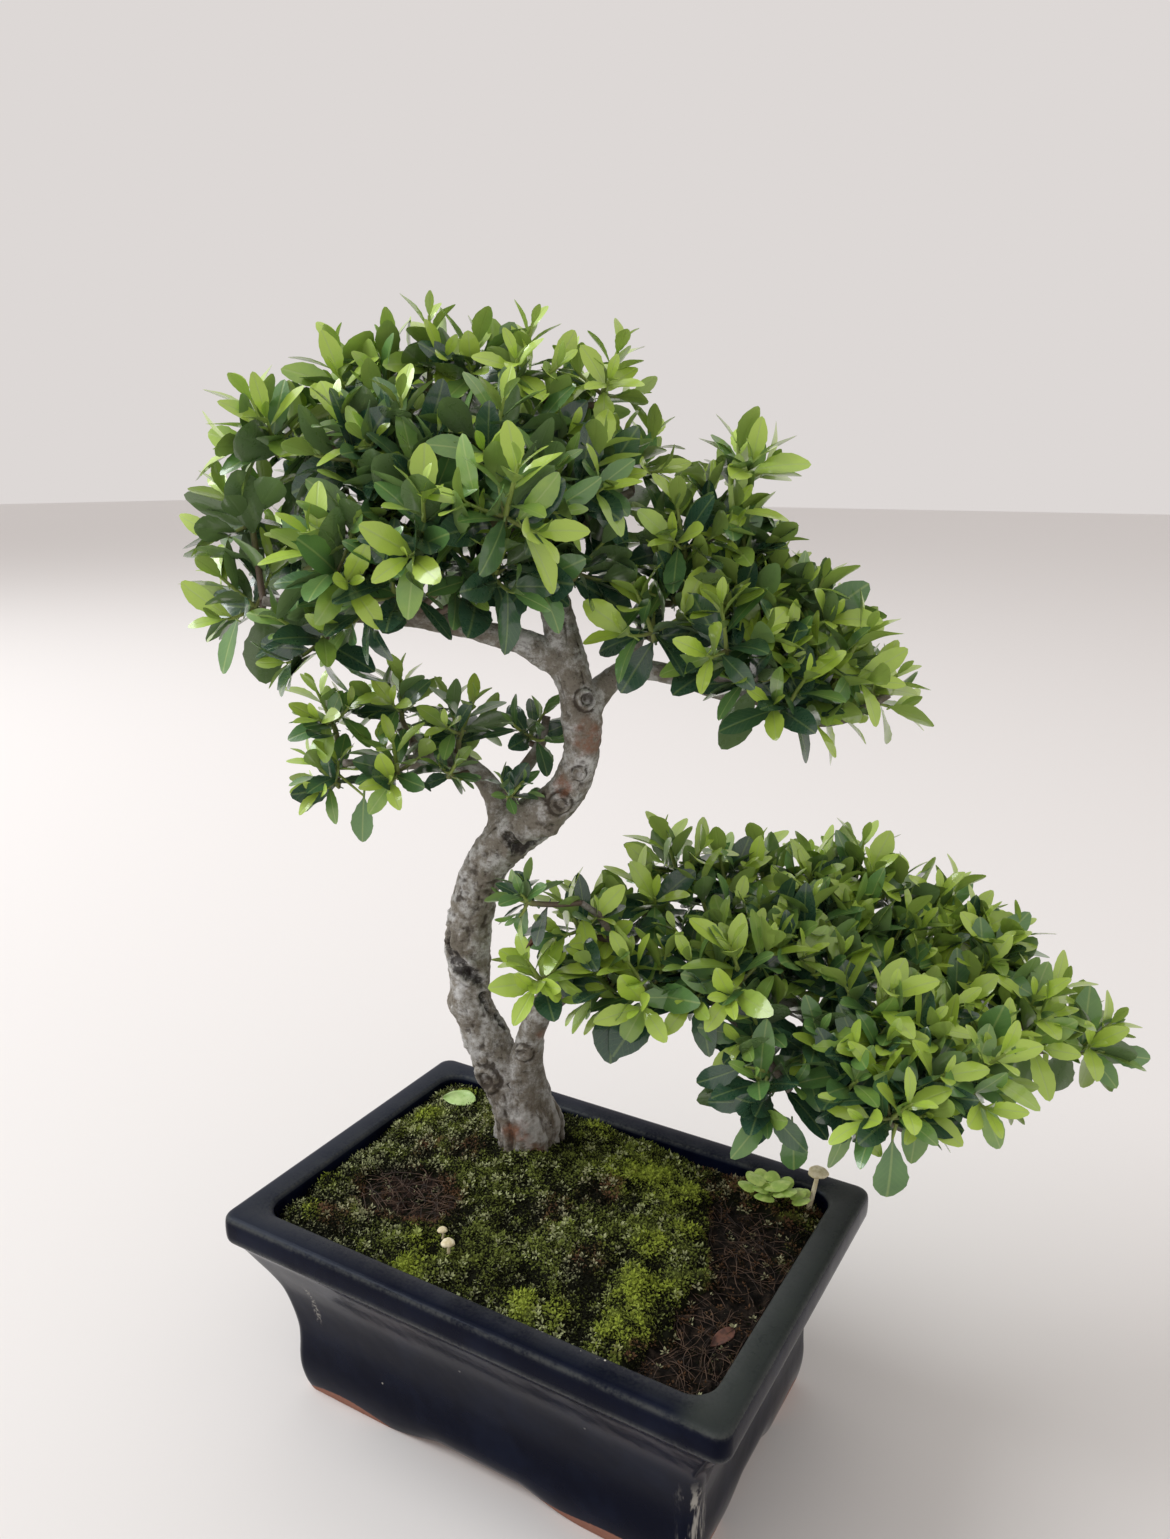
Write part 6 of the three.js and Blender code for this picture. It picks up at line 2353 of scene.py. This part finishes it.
@dataclass
class Litter:
    """Seedlings, mushrooms and shed leaves."""

    seedlings: int = 17
    seedling_foot: tuple = (69.0, 49.0)
    cap_profile: tuple = ((0.16, -0.42), (0.4, -0.4), (0.86, -0.5), (0.98, -0.52), (1.0, -0.42),
                          (0.93, -0.26), (0.72, -0.1), (0.4, -0.02), (0.06, 0.0))
    cap_sides: int = 40
    gills: int = 20
    stem_rings: int = 12
    stem_sides: int = 14
    withered: tuple = ((9, -27.5, 117, 0.4), (8, -27.4, 113, 1.1), (7, -27, 108.5, 1.7),
                       (4, -26.8, 104, 1.3), (1, -26.5, 100, 0.3))
    withered_sides: int = 12

    def build(self) -> None:
        """Builds and dresses all of it."""
        self._seedlings()
        self._mushroom("cream_mushroom", "mushroom_corner", 4.0)
        self._mushroom("pale_mushroom_near", "mushroom_near", 2.6)
        self._mushroom("pale_mushroom_far", "mushroom_far", 1.9)
        self._shed_leaf("pale_shed_leaf", "fallen_leaf_pale", PALE_LEAF, "pale_leaf", 0.35, 0.6)
        self._shed_leaf("brown_shed_leaf", "fallen_leaf_brown", BROWN_LEAF, "dry_leaf", 1.2, 0.42)
        self._withered()

    def _seedlings(self) -> None:
        """Builds the round-leaved seedlings inside the node's box."""
        low, high = box_of("seedling_clump")
        middle, half = (low + high) / 2 + np.array([4.0, 0, 0]), (high - low) / 2
        leaves, lines = [], []
        foot = np.array([*self.seedling_foot, low[2] + 0.5])
        for k in range(self.seedlings):
            angle = k * GOLDEN_ANGLE
            reach = 0.86 * math.sqrt((k + 0.6) / self.seedlings)
            way = np.array([math.cos(angle), math.sin(angle), 0])
            centre = middle + way * half * reach * np.array([1.0, 0.76, 0])
            centre[2] = low[2] + (0.62 + 0.3 * draw(k, 5, 9) - 0.3 * reach) * 2 * half[2]
            size = 5.2 + 3.0 * draw(k, 6, 9)
            along = unit(way + UP * 0.25)
            start = centre - along * size / 2
            face = unit(UP + 0.5 * way)
            face = unit(face - along * np.dot(face, along))
            leaves.append({"foot": from_pot(start[None])[0], "along": along, "face": face,
                           "left": np.cross(face, along),
                           "size": (size * MM, size * 1.08 * MM, 0.05),
                           "bend": (-0.1, 0.2 * draw(k, 7, 9), 0.0), "tone": draw(k, 8, 9)})
            path = bent(foot, foot * 0.5 + start * 0.5 + UP * 2, start, 6)
            lines.append((from_pot(np.array(path)), np.full(6, 0.32) * MM, np.ones(6)))
        pattern = Blade(Outline.ROUND, 14, 0.03).object()
        piece = leaves_at("seedling_leaves", leaves)
        LeafRepeater().run(piece, Blade=pattern, Thickness=0.25 * MM, Finish=SEEDLING.material())
        bpy.data.objects.remove(pattern)
        dress(piece, "seedling", "seedling_clump")
        stems = stems_along("seedling_stems", lines)
        StemRepeater().run(stems, Sides=6, Finish=SEEDLING.material())
        dress(stems, "seedling")

    def _mushroom(self, name: str, node: str, cap: float) -> None:
        """Builds one mushroom from its node's box.

        Args:
            name: The piece's name.
            node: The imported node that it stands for.
            cap: The cap's largest radius.
        """
        low, high = box_of(node)
        cap = min((high[0] - low[0]) / 2, cap)
        top = np.array([high[0] - cap, high[1] - cap, high[2]])
        foot = np.array([top[0], top[1], low[2]])
        if node == "mushroom_corner":
            foot[:2] = low[:2] + cap * 0.6
        sides = self.cap_sides
        angles = np.arange(sides) * math.tau / sides
        wavy = 1 + 0.05 * np.sin(3 * angles + 1) + 0.03 * np.sin(7 * angles)
        gills = 0.05 * cap * np.sign(np.sin(self.gills * angles))
        rows = []
        for share, drop in self.cap_profile:
            ring = np.column_stack([np.cos(angles), np.sin(angles)]) * (share * cap * wavy)[:, None]
            lift = gills if 0.2 < share < 0.9 and drop < -0.3 else 0.0
            height = np.full(sides, top[2] + drop * cap) + lift
            rows.append(np.column_stack([top[:2] + ring, height]))
        shape = Shape()
        shape.add(from_pot(np.concatenate(rows)), capped(len(rows), sides))
        count, around = self.stem_rings, self.stem_sides
        bow = (foot + top) / 2 + np.array([0.4, 0.3, -0.5])
        path = bent(foot, bow, top - UP * 0.3 * cap, count)
        run = Run(np.array(path), np.linspace(0.27, 0.2, count) * cap)
        _, across, over = run.frames()
        ring = np.arange(around) * math.tau / around
        tube = [point + radius * (a * np.cos(ring)[:, None] + b * np.sin(ring)[:, None])
                for point, radius, a, b in zip(run.points, run.radii, across, over)]
        shape.add(from_pot(np.concatenate(tube)), capped(count, around))
        dress(shape.object(name, MUSHROOM), "mushroom", node)

    @staticmethod
    def _shed_leaf(name: str, node: str, finish: Finish, slot: str, turn: float,
                   width: float) -> None:
        """Builds one shed leaf in its node's box.

        Args:
            name: The piece's name.
            node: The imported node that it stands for.
            finish: Its finish.
            slot: Its material slot.
            turn: The way that it points in, as an angle.
            width: Its width, as a share of its length.
        """
        low, high = box_of(node)
        middle = (low + high) / 2
        along = np.array([math.cos(turn), math.sin(turn), 0.12])
        length = float(np.linalg.norm((high - low)[:2]) * 0.93)
        foot = middle + UP * 0.4 - along * length / 2
        shape = leaf_mesh(foot, along, np.array([0.1, -0.35, 1.0]), length, length * width)
        dress(shape.object(name, finish), slot, node)

    def _withered(self) -> None:
        """Builds the curled withered leaf on the sprout."""
        run = Run.through(self.withered, 0.8)
        _, across, over = run.frames()
        angles = np.linspace(-2.2, 2.2, self.withered_sides)
        rings = []
        for k, (point, radius) in enumerate(zip(run.points, run.radii)):
            turned = angles + 0.12 * k
            spokes = np.cos(turned)[:, None] * across[k] + np.sin(turned)[:, None] * over[k]
            inner = radius * 0.72 * spokes[::-1]
            rings.append(np.concatenate([point + radius * spokes, point + inner]))
        shape = Shape()
        shape.add(from_tree(np.concatenate(rings)), capped(len(rings), 2 * self.withered_sides))
        dress(shape.object("withered_leaf", BROWN_LEAF), "dry_leaf", "dry_leaf")


def leaf_mesh(foot: np.ndarray, along: np.ndarray, face: np.ndarray, length: float,
              width: float) -> Shape:
    """Returns one closed leaf as a fine mesh, from places and sizes in the pot's frame.

    Args:
        foot: Where the leaf starts.
        along: The way that it points in.
        face: The way that its upper side looks.
        length: Its length.
        width: Its width.

    Returns:
        The shape.
    """
    sag, cup, thickness, rows, columns = 0.1, 0.1, 0.25, 22, 9
    along = unit(along)
    face = unit(face - along * np.dot(face, along))
    left = np.cross(face, along)
    shares, sides = np.linspace(0.02, 0.98, rows), np.linspace(-1, 1, columns)
    half = Blade(Outline.HOLLY).half_width(shares) * width / 2
    rings = []
    for share, reach in zip(shares, half):
        wave = 0.03 * length * math.sin(9 * share)
        rise = [cup * width * side ** 2 - sag * length * share ** 2 + wave * side + thickness
                for side in sides]
        over = [foot + along * share * length + left * side * reach + face * lift
                for side, lift in zip(sides, rise)]
        below = [point - face * 2 * thickness for point in over[::-1]]
        rings.append(np.array([*over, *below]))
    shape = Shape()
    shape.add(from_pot(np.concatenate(rings)), capped(rows, 2 * columns))
    return shape


# The studio.


@dataclass
class Studio:
    """A pale level floor, soft light, and the camera at the photograph's angle."""

    lens: float = 26.97
    sensor: float = 36.0
    camera_at: tuple = (207.8, -333.9, 358.7)
    azimuth: float = math.radians(30.13)
    pitch: float = math.radians(14.42)
    roll: float = math.radians(0.22)
    pale: Colour = srgb(230, 227, 225)
    sky: Colour = srgb(221, 216, 214)
    floor_reach: float = 12.0
    window_at: tuple = (-2.5, -1.0, 2.4)
    window_size: float = 2.0
    window_power: float = 88.0
    window_colour: tuple = (0.95, 0.98, 1.0)
    looks_at: tuple = (0.0, 0.0, 0.2)

    def build(self) -> None:
        """Builds the studio."""
        self._camera()
        self._floor()
        self._sky()
        self._window()

    def _camera(self) -> None:
        """Places the camera where the photograph was taken from."""
        sine, cosine = math.sin(self.azimuth), math.cos(self.azimuth)
        flat = Vector((-sine, cosine, 0))
        right = Vector((cosine, sine, 0))
        up = Vector((0, 0, 1))
        forward = flat * math.cos(self.pitch) - up * math.sin(self.pitch)
        above = flat * math.sin(self.pitch) + up * math.cos(self.pitch)
        across = right * math.cos(self.roll) + above * math.sin(self.roll)
        above = -right * math.sin(self.roll) + above * math.cos(self.roll)
        data = bpy.data.cameras.new("camera")
        data.lens, data.sensor_width, data.clip_start = self.lens, self.sensor, 0.01
        camera = bpy.data.objects.new("camera", data)
        bpy.context.scene.collection.objects.link(camera)
        turn = Matrix((across, above, -forward)).transposed().to_4x4()
        place = Vector(from_pot(np.array([self.camera_at]))[0])
        camera.matrix_world = Matrix.Translation(place) @ turn
        bpy.context.scene.camera = camera

    def _floor(self) -> None:
        """Makes the floor."""
        mesh = bpy.data.meshes.new("pale_floor")
        reach = self.floor_reach
        corners = [(-reach, -reach, 0), (reach, -reach, 0), (reach, reach, 0), (-reach, reach, 0)]
        mesh.from_pydata(corners, [], [(0, 1, 2, 3)])
        material = bpy.data.materials.new("pale_floor")
        shader = Shader(material)
        shader.finish(self.pale, 0.8, shader.noise(0.8), 0.02)
        mesh.materials.append(material)
        placed("pale_floor", mesh)

    def _sky(self) -> None:
        """Lights the scene evenly, with colours shown as they are."""
        scene = bpy.context.scene
        scene.view_settings.view_transform = "Standard"
        world = bpy.data.worlds.new("sky")
        scene.world = world
        world.use_nodes = True
        graph = Graph(world.node_tree)
        light = {"Color": self.sky, "Strength": 1.0}
        background = graph.term("ShaderNodeBackground", None, light)
        graph.node("ShaderNodeOutputWorld", None, {"Surface": background})

    def _window(self) -> None:
        """Adds one soft lamp that looks at the tree, as a window would."""
        data = bpy.data.lights.new("window", "AREA")
        data.size, data.energy, data.color = self.window_size, self.window_power, self.window_colour
        lamp = bpy.data.objects.new("window", data)
        bpy.context.scene.collection.objects.link(lamp)
        lamp.location = self.window_at
        lamp.rotation_mode = "QUATERNION"
        way = Vector(self.looks_at) - Vector(self.window_at)
        lamp.rotation_quaternion = way.to_track_quat("-Z", "Y")


def main() -> None:
    """Builds every piece in order."""
    logging.basicConfig(level=logging.INFO, format="%(name)s %(message)s")
    Studio().build()
    ground = Ground()
    Pot().build()
    SoilBed(ground).build()
    MossCarpet(ground).build()
    Litter().build()
    Wood().build()
    Leafage().build()
    for node in ("drain_screen_left", "drain_screen_right"):
        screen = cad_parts[node]
        screen.data.materials.clear()
        screen.data.materials.append(SCREEN.material())


if __name__ == "__main__":
    main()
